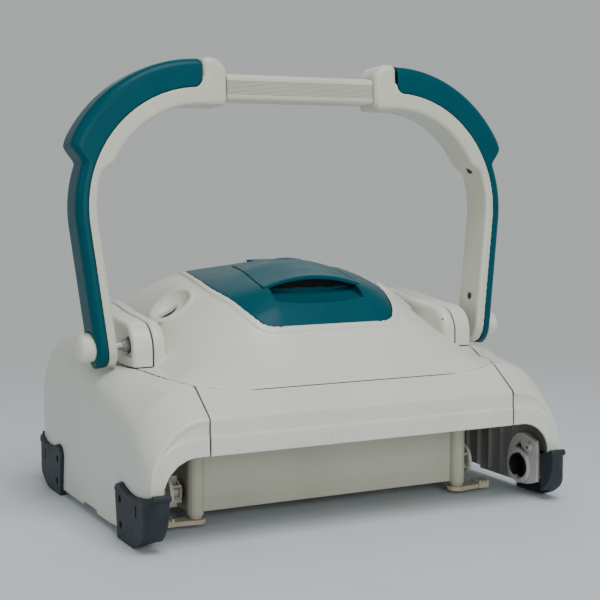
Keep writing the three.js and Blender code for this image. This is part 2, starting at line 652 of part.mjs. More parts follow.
// swinging tongue under one corner post, turned by its grooved thumb block
function latch() {
  const reach = 24;
  const shape = new THREE.Shape();
  shape.absarc(0, 0, 9, Math.PI * 0.35, Math.PI * 1.65, false);
  shape.lineTo(reach, -6);
  shape.lineTo(reach, 6);
  shape.closePath();
  const tongue = prism('z', shape, LATCH_UNDER, LATCH_UNDER + 4);
  const grooves = [1, 5].map((x) => box(reach + x, reach + x + 1.2, -8, 8, 8, 12));
  const thumb = minus(box(reach - 2, reach + 9, -7, 7, LATCH_UNDER, LATCH_UNDER + 7), ...grooves);
  const stem = rod('z', LATCH_UNDER + 1, 20, [0, 0], LATCH_STEM_R, LATCH_STEM_R, 10);
  const washer = rod('z', 6, CHASSIS_FLOOR - 1.8, [0, 0], 6, 6, 14);
  return plus(tongue, thumb, stem, washer);
}

// floor of the housing, with two rimmed inlets and a pair of skids
function bottomTray() {
  const hx = WALL_X - SKIN - 0.5;
  const hy = PANEL_Y - SKIN - 0.5;
  const top = CHASSIS_FLOOR + 4;
  const outline = new THREE.Shape();
  outline.moveTo(-hx, -hy + 10);
  outline.lineTo(-hx, hy - 10);
  outline.lineTo(-hx + 14, hy);
  outline.lineTo(hx - 14, hy);
  outline.lineTo(hx, hy - 10);
  outline.lineTo(hx, -hy + 10);
  outline.lineTo(hx - 14, -hy);
  outline.lineTo(-hx + 14, -hy);
  outline.closePath();
  const plate = prism('z', outline, CHASSIS_FLOOR, top);
  const around = (side, grow, low, high) => box(-55 - grow, 55 + grow,
    side * INLET_Y - 11 - grow, side * INLET_Y + 11 + grow, low, high);
  const rims = [-1, 1].map((side) => around(side, 4, CHASSIS_FLOOR, top + 3));
  const inlets = [-1, 1].map((side) => around(side, 0, CHASSIS_FLOOR - 4, top + 4));
  const hinges = [-1, 1].map((side) => rod('x', -58, 58, [side * FLAP_HINGE_Y, top + 3.5],
    1.5, 1.5, 12));
  const skids = [-100, 100].map((x) => box(x - 4, x + 4, -60, 60, CHASSIS_FLOOR - 4,
    CHASSIS_FLOOR + 1));
  return minus(plus(plate, ...rims, ...skids), ...inlets, ...hinges);
}

function inletFlap(side) {
  const middle = side * INLET_Y;
  const hinge = side * FLAP_HINGE_Y;
  const under = 19.6;
  const leaf = box(-54, 54, Math.min(middle - 12, hinge), Math.max(middle + 12, hinge),
    under, under + 1.4);
  return plus(leaf, rod('x', -56, 56, [hinge, under + 1], 1.2, 1.2, 12));
}

// two bins joined round a pillar that clears the motor, with a slot over each inlet
function filterBasket() {
  const halfX = 118;
  const halfY = 62;
  const floor = 46;
  const top = 92;
  const wall = 2;
  const cavity = (low) => box(-halfX + wall, halfX - wall, -halfY + wall, halfY - wall, low,
    top + 8);
  const bin = minus(box(-halfX, halfX, -halfY, halfY, floor, top), cavity(floor + wall));
  const rim = minus(box(-halfX - 4, halfX + 4, -halfY - 4, halfY + 4, top - 3, top),
    cavity(floor));
  const throats = [-1, 1].map((side) => box(-50, 50, side * INLET_Y - 10, side * INLET_Y + 10,
    floor - 6, floor + 4));
  const bars = steps(-90, 90, 6).map((x) => box(x - 1.5, x + 1.5, -halfY + 1, halfY - 1,
    floor - 2.5, floor + 1));
  const pillar = rod('z', floor - 2, top + 2, [0, 0], MOTOR_R + 4.5, MOTOR_R + 4.5, 20);
  const core = rod('z', floor - 6, top + 8, [0, 0], MOTOR_R + 2, MOTOR_R + 2, 20);
  return minus(plus(bin, rim, ...bars, pillar), core, ...throats);
}

const MOTOR_TOP = 143;

function pumpMotor() {
  const seat = CHASSIS_TOP - SKIN + 0.4;
  const can = rod('z', 50, MOTOR_TOP - 5, [0, 0], MOTOR_R, MOTOR_R, 20);
  const cap = rod('z', MOTOR_TOP - 6, MOTOR_TOP, [0, 0], 22, 14, 20);
  const flange = rod('z', seat, seat + 4.6, [0, 0], MOTOR_FLANGE_R, MOTOR_FLANGE_R, 20);
  const shaft = rod('z', MOTOR_TOP - 1, MOTOR_TOP + 17, [0, 0], SHAFT_R, SHAFT_R, 12);
  return plus(can, cap, flange, shaft);
}

// hub with five pitched blades inside a thin ring
function impeller() {
  const middle = MOTOR_TOP + 11;
  const ringR = 30;
  const hub = rod('z', middle - 7, middle + 8.5, [0, 0], 7);
  const blades = steps(0, 288, 4).map((angle) => box(5, ringR - 1, -0.9, 0.9, -6, 6)
    .rotate([32, 0, 0]).translate([0, 0, middle]).rotate([0, 0, angle]));
  const ring = minus(rod('z', middle - 4, middle + 4, [0, 0], ringR, ringR, 20),
    rod('z', middle - 6, middle + 6, [0, 0], ringR - 1.6, ringR - 1.6, 20));
  const bore = rod('z', middle - 14, middle + 6.4, [0, 0], SHAFT_R + GAP);
  return minus(plus(hub, ...blades, ring), bore);
}

// ---- handle --------------------------------------------------------------------------------
const tilted = (body) => body.translate([0, -PIVOT_Y, -PIVOT_Z])
  .rotate([-THREE.MathUtils.radToDeg(TILT), 0, 0]).translate([0, PIVOT_Y, PIVOT_Z]);

// length along the parting line where the elbow arc ends and the straight arm begins
const ARC_END = BEND_R * (Math.PI / 2 + ARM_LEAN);

// parting line of the right arm from collar to foot: point and outward direction
function armPoint(s) {
  if (s < 0) return { x: BEND_X + s, z: BEND_Z + BEND_R, nx: 0, nz: 1 };
  if (s < ARC_END) {
    const a = Math.PI / 2 - s / BEND_R;
    return { x: BEND_X + BEND_R * Math.cos(a), z: BEND_Z + BEND_R * Math.sin(a),
      nx: Math.cos(a), nz: Math.sin(a) };
  }
  const nx = Math.cos(ARM_LEAN);
  const nz = -Math.sin(ARM_LEAN);
  const run = s - ARC_END;
  return { x: BEND_X + BEND_R * nx + run * nz, z: BEND_Z + BEND_R * nz - run * nx, nx, nz };
}

const STEP_S = BEND_R * (Math.PI / 2 - NECK);
const LIP_S = BEND_R * (Math.PI / 2 - LIP);
const armZ = (s) => armPoint(s).z;
const FOOT_S = ARC_END + (armZ(ARC_END) - PIVOT_Z) / Math.cos(ARM_LEAN) + ARM_HALF;

// half depth, narrowing to a half circle about the pivot at the foot
function halfDepth(s, full) {
  const below = PIVOT_Z - armPoint(s).z;
  if (below <= 0) return full;
  return Math.sqrt(Math.max(full * full - below * below, 1));
}

const outThick = through([0, PAD_OUT], [LIP_S - 8, PAD_OUT + 0.5], [LIP_S, PAD_OUT - 0.5],
  [STEP_S, ARM_OUT], [STEP_S + 20, ARM_OUT], [FOOT_S, ARM_OUT]);
const outBevel = through([0, 5], [LIP_S, 6], [STEP_S, 8], [STEP_S + 25, 9.5], [FOOT_S, 9.5]);
const outFace = through([0, 15], [LIP_S, 14], [STEP_S, 12], [FOOT_S, 12]);
const inThick = through([-20, PAD_IN], [LIP_S - 4, PAD_IN], [STEP_S + 4, ARM_IN],
  [FOOT_S, ARM_IN + 0.5]);

const ARM_ROWS = [0, 16, 34, 52, 70, 88, 104, LIP_S - 2, LIP_S + 4, STEP_S,
  STEP_S + 12, 160, ARC_END, ARC_END + 20];
const FOOT_ROWS = steps(0, Math.PI / 2, 7).map((a) => FOOT_S - ARM_HALF * (1 - Math.sin(a)) - 0.2);

function armLoft(rows, loop) {
  return loft(rows.map((s) => {
    const p = armPoint(s);
    return loop(s).map(([out, y]) => v3(p.x + out * p.nx, PIVOT_Y + y, p.z + out * p.nz));
  }));
}

const ALL_ROWS = [...ARM_ROWS.filter((s) => s < FOOT_ROWS[0] - 5), ...FOOT_ROWS];

function coverLoop(s) {
  const h = halfDepth(s, ARM_HALF);
  const t = outThick(s);
  const shrink = h / ARM_HALF;
  const w = outFace(s) * shrink;
  const rise = t - outBevel(s) * 0.9;
  return [[GAP, -h], [rise, -h], [t - 1.2, -w - 1.5], [t, -w + 1.5], [t, w - 1.5],
    [t - 1.2, w + 1.5], [rise, h], [GAP, h]];
}

function shellLoop(s) {
  const h = halfDepth(s, ARM_HALF);
  const t = inThick(s);
  return [[0, h], [-t + 3, h], [-t + 0.8, h - 1], [-t, h - 3.2], [-t, -h + 3.2],
    [-t + 0.8, -h + 1], [-t + 3, -h], [0, -h]];
}

const LOWER_SCREW_S = 266;       // length along the arm of its lower screw
const ARM_SCREWS = [STEP_S - 2, LOWER_SCREW_S].map((s) => ({ s, p: armPoint(s) }));

// a short rod square to the arm's inner face at one screw position
function armRod(at, from, to, radius) {
  const angle = THREE.MathUtils.radToDeg(Math.atan2(at.p.nz, at.p.nx));
  return rod('x', from, to, [0, 0], radius, radius, 10).rotate([0, -angle, 0])
    .translate([at.p.x, PIVOT_Y, at.p.z]);
}

function handleCover() {
  const body = armLoft(ALL_ROWS, coverLoop);
  const knobWell = rod('x', KNOB_FOOT - 9, KNOB_FOOT + 40, [PIVOT_Y, PIVOT_Z], KNOB_R + 0.6);
  const screws = ARM_SCREWS.map((at) => armRod(at, -1, 6.4, 1.9));
  const corner = minus(box(BEND_X - 10, BEND_X + 9, -60, -14, 376, 395),
    rod('y', -70, 0, [BEND_X + 9, 395], 9, 9, 32));
  const cutEnd = box(BEND_X - 10, BEND_X + GAP, -60, 40, 370, 430);
  return minus(body, knobWell, cutEnd, corner.translate([0, -4, 0]), ...screws);
}

function collar() {
  const shape = new THREE.Shape();
  const top = BEND_Z + BEND_R + PAD_OUT + 1.2;
  const low = BEND_Z + BEND_R - PAD_IN;
  shape.moveTo(BEND_X - GAP, low);
  shape.lineTo(BEND_X - GAP, top);
  shape.lineTo(GRIP_HALF + 8, top);
  shape.quadraticCurveTo(GRIP_HALF + 1.5, top - 1, GRIP_HALF + GAP, top - 13);
  shape.lineTo(GRIP_HALF + GAP, low);
  shape.closePath();
  return prism('y', shape, PIVOT_Y - ARM_HALF, PIVOT_Y + ARM_HALF, 3);
}

const gripSocket = (grow) => box(GRIP_HALF - 1, GRIP_HALF + 12 + grow, PIVOT_Y - 7 - grow,
  PIVOT_Y + 7 + grow, GRIP_Z - 6 - grow, GRIP_Z + 6 + grow);

function handleShell() {
  const arm = armLoft([-BEND_X + GRIP_HALF + 4, ...ALL_ROWS], shellLoop);
  const pinBore = rod('x', RAIL_OUT, KNOB_FOOT + 4, [PIVOT_Y, PIVOT_Z], PIVOT_BORE_R);
  const heads = ARM_SCREWS.flatMap((at) => [armRod(at, -20, -inThick(at.s) + 2.6, 3.6),
    armRod(at, -20, 2, 1.9)]);
  const knobBore = rod('x', KNOB_FOOT - 3.5, KNOB_FOOT + 16, [PIVOT_Y, PIVOT_Z],
    KNOB_STEM_R + 0.4);
  return minus(plus(arm, collar()), gripSocket(GAP), pinBore, knobBore, ...heads);
}

function armScrew(at) {
  const t = inThick(at.s);
  return plus(armRod(at, -t + 0.4, -t + 2.3, 3.3), armRod(at, -t + 2, 6, 1.6));
}

function grip() {
  const shape = new THREE.Shape();
  const low = GRIP_Z - 12.5;
  const high = GRIP_Z + 12.5;
  const deep = 14;
  shape.moveTo(PIVOT_Y - deep + 5, low);
  shape.quadraticCurveTo(PIVOT_Y - deep, low, PIVOT_Y - deep, low + 6);
  const grooves = 6;
  for (let i = 0; i < grooves; i += 1) {
    const z = low + 7 + i * 2.1;
    shape.lineTo(PIVOT_Y - deep, z);
    shape.lineTo(PIVOT_Y - deep + 0.7, z + 0.5);
    shape.lineTo(PIVOT_Y - deep, z + 1);
  }
  shape.quadraticCurveTo(PIVOT_Y - deep, high, PIVOT_Y - 2, high);
  shape.quadraticCurveTo(PIVOT_Y + deep, high, PIVOT_Y + deep, low + 8);
  shape.quadraticCurveTo(PIVOT_Y + deep, low, PIVOT_Y + deep - 6, low);
  shape.closePath();
  const bar = prism('x', shape, -GRIP_HALF, GRIP_HALF);
  return plus(bar, gripSocket(0), mirrored(gripSocket(0)));
}

// domed cap on a stem that turns in the arm's foot
function knob() {
  const collarAt = 8;
  const crown = 24;
  const profile = [
    new THREE.Vector2(0, 0),
    new THREE.Vector2(KNOB_STEM_R, 0),
    new THREE.Vector2(KNOB_STEM_R, collarAt),
    new THREE.Vector2(KNOB_R, collarAt),
    new THREE.Vector2(KNOB_R, crown - 6),
    new THREE.Vector2(KNOB_R - 1.2, crown - 3.4),
    new THREE.Vector2(KNOB_R - 4.5, crown - 1.4),
    new THREE.Vector2(KNOB_R - 8.5, crown - 0.4),
    new THREE.Vector2(0, crown),
  ];
  return solid(new THREE.LatheGeometry(profile, 18).rotateZ(-Math.PI / 2)
    .translate(KNOB_FOOT, PIVOT_Y, PIVOT_Z));
}

// pin from the pod through the rail into the arm, with its collar in the rail's well
function pivotPin() {
  return plus(rod('x', POD_OUT + 3, KNOB_FOOT - GAP, [PIVOT_Y, PIVOT_Z], PIVOT_PIN_R,
    PIVOT_PIN_R, 14), rod('x', RAIL_OUT - 6.5, RAIL_OUT + 1.5, [PIVOT_Y, PIVOT_Z], 6, 6, 18));
}

// ---- assembly ------------------------------------------------------------------------------
const both = (name, body, material) => {
  piece(`${name}_right`, body, material);
  piece(`${name}_left`, mirrored(body), material);
};
const corners = (name, body, material) => {
  both(`${name}_front`, body, material);
  both(`${name}_rear`, mirrorY(body), material);
};

piece('chassis', chassis(), CREAM);
piece('bottom_tray', bottomTray(), CREAM);
piece('inlet_flap_front', inletFlap(-1), BLACK);
piece('inlet_flap_rear', inletFlap(1), BLACK);
corners('tray_latch', latch().translate([POST_X, -PANEL_Y, 0]), BEIGE);
piece('filter_basket', filterBasket(), MESHY);
piece('pump_motor', pumpMotor(), BLACK);
piece('impeller', impeller(), CREAM);
corners('wheel_hub', wheelHub(), GREY);
corners('bearing_plate', bearingPlate(), GREY);
piece('front_beam', beam(BEAM_KINK, 124, 125, false), WHITE);
piece('rear_beam', beam(REAR_KINK, 128, 149, true), WHITE);
both('side_cover', sideCover(), WHITE);
corners('bumper', bumper(), SLATE);
corners('bumper_screw_upper', bumperScrew(BUMPER_SCREWS[0]), STEEL);
corners('bumper_screw_lower', bumperScrew(BUMPER_SCREWS[1]), STEEL);
piece('dome', dome(), WHITE);
both('pivot_rail', rail(), WHITE);
piece('outlet_cover', outletCover(), TEAL);
piece('outlet_lid', outletLid(), TEAL);
piece('lid_pin', rod('x', -PIN_HALF, PIN_HALF, [HINGE_Y, HINGE_Z], HINGE_PIN_R), STEEL);
both('pivot_pin', tilted(pivotPin()), STEEL);
both('handle_shell', tilted(handleShell()), WHITE);
both('handle_cover', tilted(handleCover()), TEAL);
both('handle_screw_upper', tilted(armScrew(ARM_SCREWS[0])), STEEL);
both('handle_screw_lower', tilted(armScrew(ARM_SCREWS[1])), STEEL);
both('knob', tilted(knob()), WHITE);
piece('handle_grip', tilted(grip()), WHITE);

export default group;
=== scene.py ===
"""Pool cleaner: smooth moulded shells, rubber corners and a two-colour handle round the CAD frame."""
import json
import math

import bmesh
import bpy
import numpy as np
from mathutils import Matrix, Vector


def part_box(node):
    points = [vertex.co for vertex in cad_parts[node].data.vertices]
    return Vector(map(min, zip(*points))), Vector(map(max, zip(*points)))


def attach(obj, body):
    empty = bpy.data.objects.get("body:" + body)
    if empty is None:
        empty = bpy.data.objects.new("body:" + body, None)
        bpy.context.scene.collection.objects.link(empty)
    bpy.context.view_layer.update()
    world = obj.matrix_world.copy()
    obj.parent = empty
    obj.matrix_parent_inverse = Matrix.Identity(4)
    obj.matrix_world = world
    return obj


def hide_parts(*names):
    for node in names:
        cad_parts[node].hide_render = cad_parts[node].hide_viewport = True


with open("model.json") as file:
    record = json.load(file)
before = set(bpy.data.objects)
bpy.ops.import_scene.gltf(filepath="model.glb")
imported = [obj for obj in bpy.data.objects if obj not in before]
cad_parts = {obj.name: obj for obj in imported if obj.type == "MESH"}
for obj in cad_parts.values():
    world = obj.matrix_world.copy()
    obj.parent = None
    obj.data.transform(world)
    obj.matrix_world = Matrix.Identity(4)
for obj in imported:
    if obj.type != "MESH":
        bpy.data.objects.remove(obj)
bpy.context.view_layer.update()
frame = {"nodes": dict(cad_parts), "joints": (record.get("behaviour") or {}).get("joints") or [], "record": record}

MM = 0.001
RECORD = frame["record"]
JOINTS = {joint["name"]: joint for joint in frame["joints"]}


def low(node):
    return [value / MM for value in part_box(node)[0]]


def high(node):
    return [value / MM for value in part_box(node)[1]]


# ---- sizes in millimetres, read from the frame where it holds them ----------------------------
GAP = 0.3
SEAM = 0.7                       # each shell stands this far back from a visible seam
SKIN = 3
PIVOT_Y = JOINTS["handle_swing"]["pos_m"][1] / MM
PIVOT_Z = JOINTS["handle_swing"]["pos_m"][2] / MM
HINGE_Y = JOINTS["lid_hinge"]["pos_m"][1] / MM
HINGE_Z = JOINTS["lid_hinge"]["pos_m"][2] / MM
FRONT = high("side_cover_right")[1]
SIDE = high("side_cover_right")[0]
BEAM_HALF = high("front_beam")[0] + GAP
BEAM_UNDER = low("front_beam")[2]
DOME_FRONT = low("dome")[1]
DOME_REAR = high("dome")[1]
DOME_FOOT = low("dome")[2]
RAIL_OUT = high("pivot_rail_right")[0]
POD_OUT = low("pivot_rail_right")[0] - GAP / 2
POD_IN = POD_OUT - 13
LID_FRONT = low("outlet_lid")[1]
LID_REAR = HINGE_Y - 4
LID_HALF = high("outlet_lid")[0]
BUMPER_OUT = high("bumper_front_right")[0]
BUMPER_FRONT = low("bumper_front_right")[1] + 1
ARCH_R = 30
ARCH_X = 163
TILT = math.radians(3)
BEND_X = 103
BEND_Z = 276
BEND_R = 110
ARM_LEAN = math.radians(7)
ARM_HALF = 18.5
PAD_OUT = 26.5
ARM_OUT = 10.5
PAD_IN = 16
ARM_IN = 8.5
NECK = math.radians(20)
LIP = math.radians(25.5)
GRIP_HALF = 77
GRIP_Z = 387.5
KNOB_R = 13
PIVOT_BORE = 4.4
SCREW_BORE = 1.9
CROWN_X = 45                     # where the hump's crown gives way to its shoulder


# ---- mesh helpers, all in millimetres until the mesh is made -----------------------------------
def through(*pairs):
    """A smooth function through (position, value) pairs that never overshoots them."""
    xs = [pair[0] for pair in pairs]
    ys = [pair[1] for pair in pairs]
    last = len(pairs) - 1
    step = [(ys[i + 1] - ys[i]) / (xs[i + 1] - xs[i]) for i in range(last)]
    slope = [step[0]]
    for before, after in zip(step, step[1:]):
        slope.append(0 if before * after <= 0 else 2 / (1 / before + 1 / after))
    slope.append(step[-1])

    def value(at):
        x = min(max(at, xs[0]), xs[-1])
        i = 0
        while i < last - 1 and x > xs[i + 1]:
            i += 1
        width = xs[i + 1] - xs[i]
        t = (x - xs[i]) / width
        return (
            (2 * t**3 - 3 * t**2 + 1) * ys[i]
            + (t**3 - 2 * t**2 + t) * width * slope[i]
            + (3 * t**2 - 2 * t**3) * ys[i + 1]
            + (t**3 - t**2) * width * slope[i + 1]
        )

    return value


def crowded(start, end, count):
    """Positions from start to end, closer together near both ends."""
    turn = np.linspace(0, math.pi, count)
    return list(start + (end - start) * (1 - np.cos(turn)) / 2)


def arc(centre_u, centre_v, radius, start, end, count=16):
    turn = np.radians(np.linspace(start, end, count))
    return [(centre_u + radius * math.cos(a), centre_v + radius * math.sin(a)) for a in turn]


def bow(start, pull, end, count=10):
    """A quadratic curve between two points, pulled towards a third."""
    points = []
    for t in np.linspace(0, 1, count):
        weights = ((1 - t) ** 2, 2 * t * (1 - t), t**2)
        points.append(tuple(sum(w * p[k] for w, p in zip(weights, (start, pull, end))) for k in (0, 1)))
    return points


def made(name, points, faces):
    mesh = bpy.data.meshes.new(name)
    mesh.from_pydata([tuple(value * MM for value in p) for p in points], [], faces)
    tidy = bmesh.new()
    tidy.from_mesh(mesh)
    bmesh.ops.remove_doubles(tidy, verts=tidy.verts, dist=1e-6)
    bmesh.ops.recalc_face_normals(tidy, faces=tidy.faces)
    tidy.to_mesh(mesh)
    tidy.free()
    piece = bpy.data.objects.new(name, mesh)
    bpy.context.scene.collection.objects.link(piece)
    return piece


def loft(loops, name="loft"):
    """Skins closed loops that have equal point counts, and closes both ends."""
    count = len(loops[0])
    points = [point for loop in loops for point in loop]
    faces = []
    for row in range(len(loops) - 1):
        for j in range(count):
            a = row * count + j
            b = row * count + (j + 1) % count
            faces.append((a, b, b + count, a + count))
    faces.append(tuple(reversed(range(count))))
    faces.append(tuple(range((len(loops) - 1) * count, len(loops) * count)))
    return made(name, points, faces)


def on_axis(axis, u, v, along):
    """A point from two outline coordinates and a position along the axis."""
    if axis == "x":
        return (along, u, v)
    if axis == "y":
        return (u, along, v)
    return (u, v, along)


def prism(axis, outline, start, end):
    return loft([[on_axis(axis, u, v, at) for u, v in outline] for at in (start, end)])


def rod(axis, start, end, centre, radius, far_radius=None, sides=40):
    far = radius if far_radius is None else far_radius
    ends = ((start, radius), (end, far))
    turns = np.linspace(0, 2 * math.pi, sides, endpoint=False)
    return loft(
        [
            [on_axis(axis, centre[0] + r * math.cos(a), centre[1] + r * math.sin(a), at) for a in turns]
            for at, r in ends
        ]
    )


def box(x0, x1, y0, y1, z0, z1):
    return prism("z", [(x0, y0), (x1, y0), (x1, y1), (x0, y1)], z0, z1)


def ball(centre, radii, turn=None):
    """A squashed ball."""
    mesh = bmesh.new()
    bmesh.ops.create_uvsphere(mesh, u_segments=48, v_segments=24, radius=1)
    matrix = Matrix.Diagonal((*radii, 1))
    if turn:
        matrix = turn @ matrix
    matrix = Matrix.Translation(centre) @ matrix
    points = [tuple(matrix @ v.co) for v in mesh.verts]
    faces = [tuple(v.index for v in f.verts) for f in mesh.faces]
    mesh.free()
    return made("ball", points, faces)


def settle(piece):
    """Applies the piece's modifiers."""
    graph = bpy.context.evaluated_depsgraph_get()
    mesh = bpy.data.meshes.new_from_object(piece.evaluated_get(graph))
    piece.modifiers.clear()
    old = piece.data
    piece.data = mesh
    bpy.data.meshes.remove(old)
    return piece


def merged(operation, piece, tools, solvers=("MANIFOLD", "EXACT")):
    for tool in tools:
        for solver in solvers:
            change = piece.modifiers.new("merge", "BOOLEAN")
            change.operation = operation
            change.solver = solver
            change.object = tool
            graph = bpy.context.evaluated_depsgraph_get()
            if len(piece.evaluated_get(graph).data.polygons) > 0:
                break
            piece.modifiers.remove(change)
        settle(piece)
        bpy.data.objects.remove(tool)
    return piece


def minus(piece, *tools):
    return merged("DIFFERENCE", piece, tools)


def plus(piece, *tools):
    return merged("UNION", piece, tools)


def within(piece, *tools):
    return merged("INTERSECT", piece, tools)


def drilled(piece, *tools):
    """Cuts crisp holes into a piece that is moulded already."""
    return merged("DIFFERENCE", piece, tools, ("EXACT",))


def moulded(piece, grain, rounds=3, keep=0.45):
    """Rounds every edge a little, as a moulding has."""
    remesh = piece.modifiers.new("remesh", "REMESH")
    remesh.mode = "VOXEL"
    remesh.voxel_size = grain * MM
    smooth = piece.modifiers.new("smooth", "SMOOTH")
    smooth.iterations = rounds
    thin = piece.modifiers.new("thin", "DECIMATE")
    thin.ratio = keep
    settle(piece)
    piece.data.shade_smooth()
    return piece


def moved(piece, matrix):
    piece.data.transform(matrix)
    return piece


def flipped(piece, axis=0):
    """Turns a piece into its mirror image across X (0) or Y (1)."""
    scale = [1, 1, 1]
    scale[axis] = -1
    piece.data.transform(Matrix.Diagonal((*scale, 1)))
    piece.data.flip_normals()
    return piece


def mirrored(piece, axis=0):
    """A copy on the other side of the object."""
    twin = piece.copy()
    twin.data = piece.data.copy()
    bpy.context.scene.collection.objects.link(twin)
    return flipped(twin, axis)


def placed(piece, node, body, material):
    """Names a piece after the CAD node it stands for, and lets it ride on its body."""
    piece.name = f"{node}_skin"
    piece.data.materials.clear()
    piece.data.materials.append(material)
    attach(piece, body)
    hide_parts(node)
    return piece


def placed_pair(piece, node, body, material):
    twin = mirrored(piece)
    placed(piece, f"{node}_right", body, material)
    placed(twin, f"{node}_left", body, material)


# ---- materials ----------------------------------------------------------------------------------
def plastic(name, colour, roughness, tint=0.05, grain=0.03, grain_scale=1400, metallic=0.0,
            scuff=0.0, specular=0.5, shade_and_grime=0, shade_and_dirt_tint=(0.05, 0.045, 0.035)):
    """Moulded plastic: a cloudy tint, fine grain, uneven gloss, and painted shade in seams and recesses this many
    mm deep, its tint also standing for dirt where it is brown.
    """
    material = bpy.data.materials.new(name)
    material.use_nodes = True
    nodes = material.node_tree.nodes
    links = material.node_tree.links
    shader = nodes["Principled BSDF"]
    shader.inputs["Metallic"].default_value = metallic
    shader.inputs["Specular IOR Level"].default_value = specular
    where = nodes.new("ShaderNodeTexCoord")

    def noise(scale, detail):
        node = nodes.new("ShaderNodeTexNoise")
        node.inputs["Scale"].default_value = scale
        node.inputs["Detail"].default_value = detail
        links.new(where.outputs["Object"], node.inputs["Vector"])
        return node.outputs["Fac"]

    cloud = nodes.new("ShaderNodeValToRGB")
    cloud.color_ramp.elements[0].position = 0.3
    cloud.color_ramp.elements[1].position = 0.7
    cloud.color_ramp.elements[0].color = (*[c * (1 - tint) for c in colour], 1)
    cloud.color_ramp.elements[1].color = (*[min(1, c * (1 + tint)) for c in colour], 1)
    links.new(noise(14, 5), cloud.inputs["Fac"])
    colour_out = cloud.outputs["Color"]
    if scuff:
        marks = nodes.new("ShaderNodeValToRGB")
        marks.color_ramp.elements[0].position = 0.62
        marks.color_ramp.elements[1].position = 0.78
        links.new(noise(260, 9), marks.inputs["Fac"])
        worn = nodes.new("ShaderNodeMix")
        worn.data_type = "RGBA"
        amount = nodes.new("ShaderNodeMath")
        amount.operation = "MULTIPLY"
        amount.inputs[1].default_value = scuff
        links.new(marks.outputs["Color"], amount.inputs[0])
        links.new(amount.outputs[0], worn.inputs["Factor"])
        links.new(colour_out, worn.inputs["A"])
        worn.inputs["B"].default_value = (*[min(1, c * 1.4 + 0.06) for c in colour], 1)
        colour_out = worn.outputs["Result"]
    # Painted shade: ambient occlusion darkens the colour in seams, creases and recesses; a brown tint adds dirt to
    # it, a near-black tint is shade only.
    if shade_and_grime:
        shelter = nodes.new("ShaderNodeAmbientOcclusion")
        shelter.samples = 8
        shelter.inputs["Distance"].default_value = shade_and_grime * MM
        shade_and_dirt_ramp = nodes.new("ShaderNodeValToRGB")
        shade_and_dirt_ramp.color_ramp.elements[0].position = 0.12
        shade_and_dirt_ramp.color_ramp.elements[0].color = (*shade_and_dirt_tint, 1)
        shade_and_dirt_ramp.color_ramp.elements[1].position = 0.7
        shade_and_dirt_mix = nodes.new("ShaderNodeMix")
        shade_and_dirt_mix.data_type = "RGBA"
        shade_and_dirt_mix.blend_type = "MULTIPLY"
        shade_and_dirt_mix.inputs["Factor"].default_value = 1
        links.new(shelter.outputs["AO"], shade_and_dirt_ramp.inputs["Fac"])
        links.new(colour_out, shade_and_dirt_mix.inputs["A"])
        links.new(shade_and_dirt_ramp.outputs["Color"], shade_and_dirt_mix.inputs["B"])
        colour_out = shade_and_dirt_mix.outputs["Result"]
    links.new(colour_out, shader.inputs["Base Color"])

    gloss = nodes.new("ShaderNodeMapRange")
    gloss.inputs["To Min"].default_value = roughness * 0.8
    gloss.inputs["To Max"].default_value = roughness * 1.2
    links.new(noise(90, 6), gloss.inputs["Value"])
    links.new(gloss.outputs["Result"], shader.inputs["Roughness"])

    bump = nodes.new("ShaderNodeBump")
    bump.inputs["Strength"].default_value = grain
    bump.inputs["Distance"].default_value = 0.0004
    links.new(noise(grain_scale, 3), bump.inputs["Height"])
    links.new(bump.outputs["Normal"], shader.inputs["Normal"])
    return material


# Painted shade: the crevice depth given to each material darkens its seams and recesses; the BROWN tint also
# stands for dirt, the near-black teal tint is shade only.
WHITE = plastic("white_shell", (0.75, 0.77, 0.68), 0.3, tint=0.03, grain=0.04, scuff=0.05, shade_and_grime=4)
AGED = plastic("aged_shell", (0.66, 0.67, 0.56), 0.36, tint=0.05, grain=0.05, scuff=0.1, shade_and_grime=5)
# Painted shade: a darker grey copy of the shell for the covers' shaded inner faces.
INNER_SHADE = plastic("inner_shade_grey", (0.36, 0.35, 0.335), 0.5, tint=0.15, grain=0.1, shade_and_grime=8)
BROWN = (0.3, 0.22, 0.11)
CREAM = plastic("cream_plastic", (0.53, 0.53, 0.42), 0.45, tint=0.09, grain=0.08, shade_and_grime=14,
                shade_and_dirt_tint=BROWN)
GREY = plastic("grey_plastic", (0.58, 0.565, 0.49), 0.5, tint=0.14, grain=0.1, shade_and_grime=10, shade_and_dirt_tint=BROWN)
TEAL = plastic("teal_plastic", (0.0, 0.08, 0.107), 0.34, tint=0.06, grain=0.1, scuff=0.02,
               specular=0.12, shade_and_grime=22, shade_and_dirt_tint=(0.02, 0.02, 0.02))
SLATE = plastic("slate_rubber", (0.022, 0.031, 0.038), 0.55, tint=0.14, grain=0.3, scuff=0.1,
                specular=0.35)
BEIGE = plastic("beige_plastic", (0.54, 0.5, 0.37), 0.55, tint=0.18, grain=0.1, shade_and_grime=5, shade_and_dirt_tint=BROWN)
FILTER = plastic("filter_plastic", (0.6, 0.64, 0.67), 0.7, tint=0.05, grain=0.6, grain_scale=700)
BLACK = plastic("black_plastic", (0.006, 0.008, 0.01), 0.6, tint=0.2, grain=0.15, specular=0.1)
STEEL = plastic("steel", (0.5, 0.51, 0.53), 0.4, tint=0.25, grain=0.3, metallic=1.0, scuff=0.2)
# Painted shade: a darkened copy of steel for the screws, for the shade in their holes.
SHADED_STEEL = plastic("shaded_steel", (0.09, 0.09, 0.09), 0.5, tint=0.2, grain=0.2, metallic=1.0)


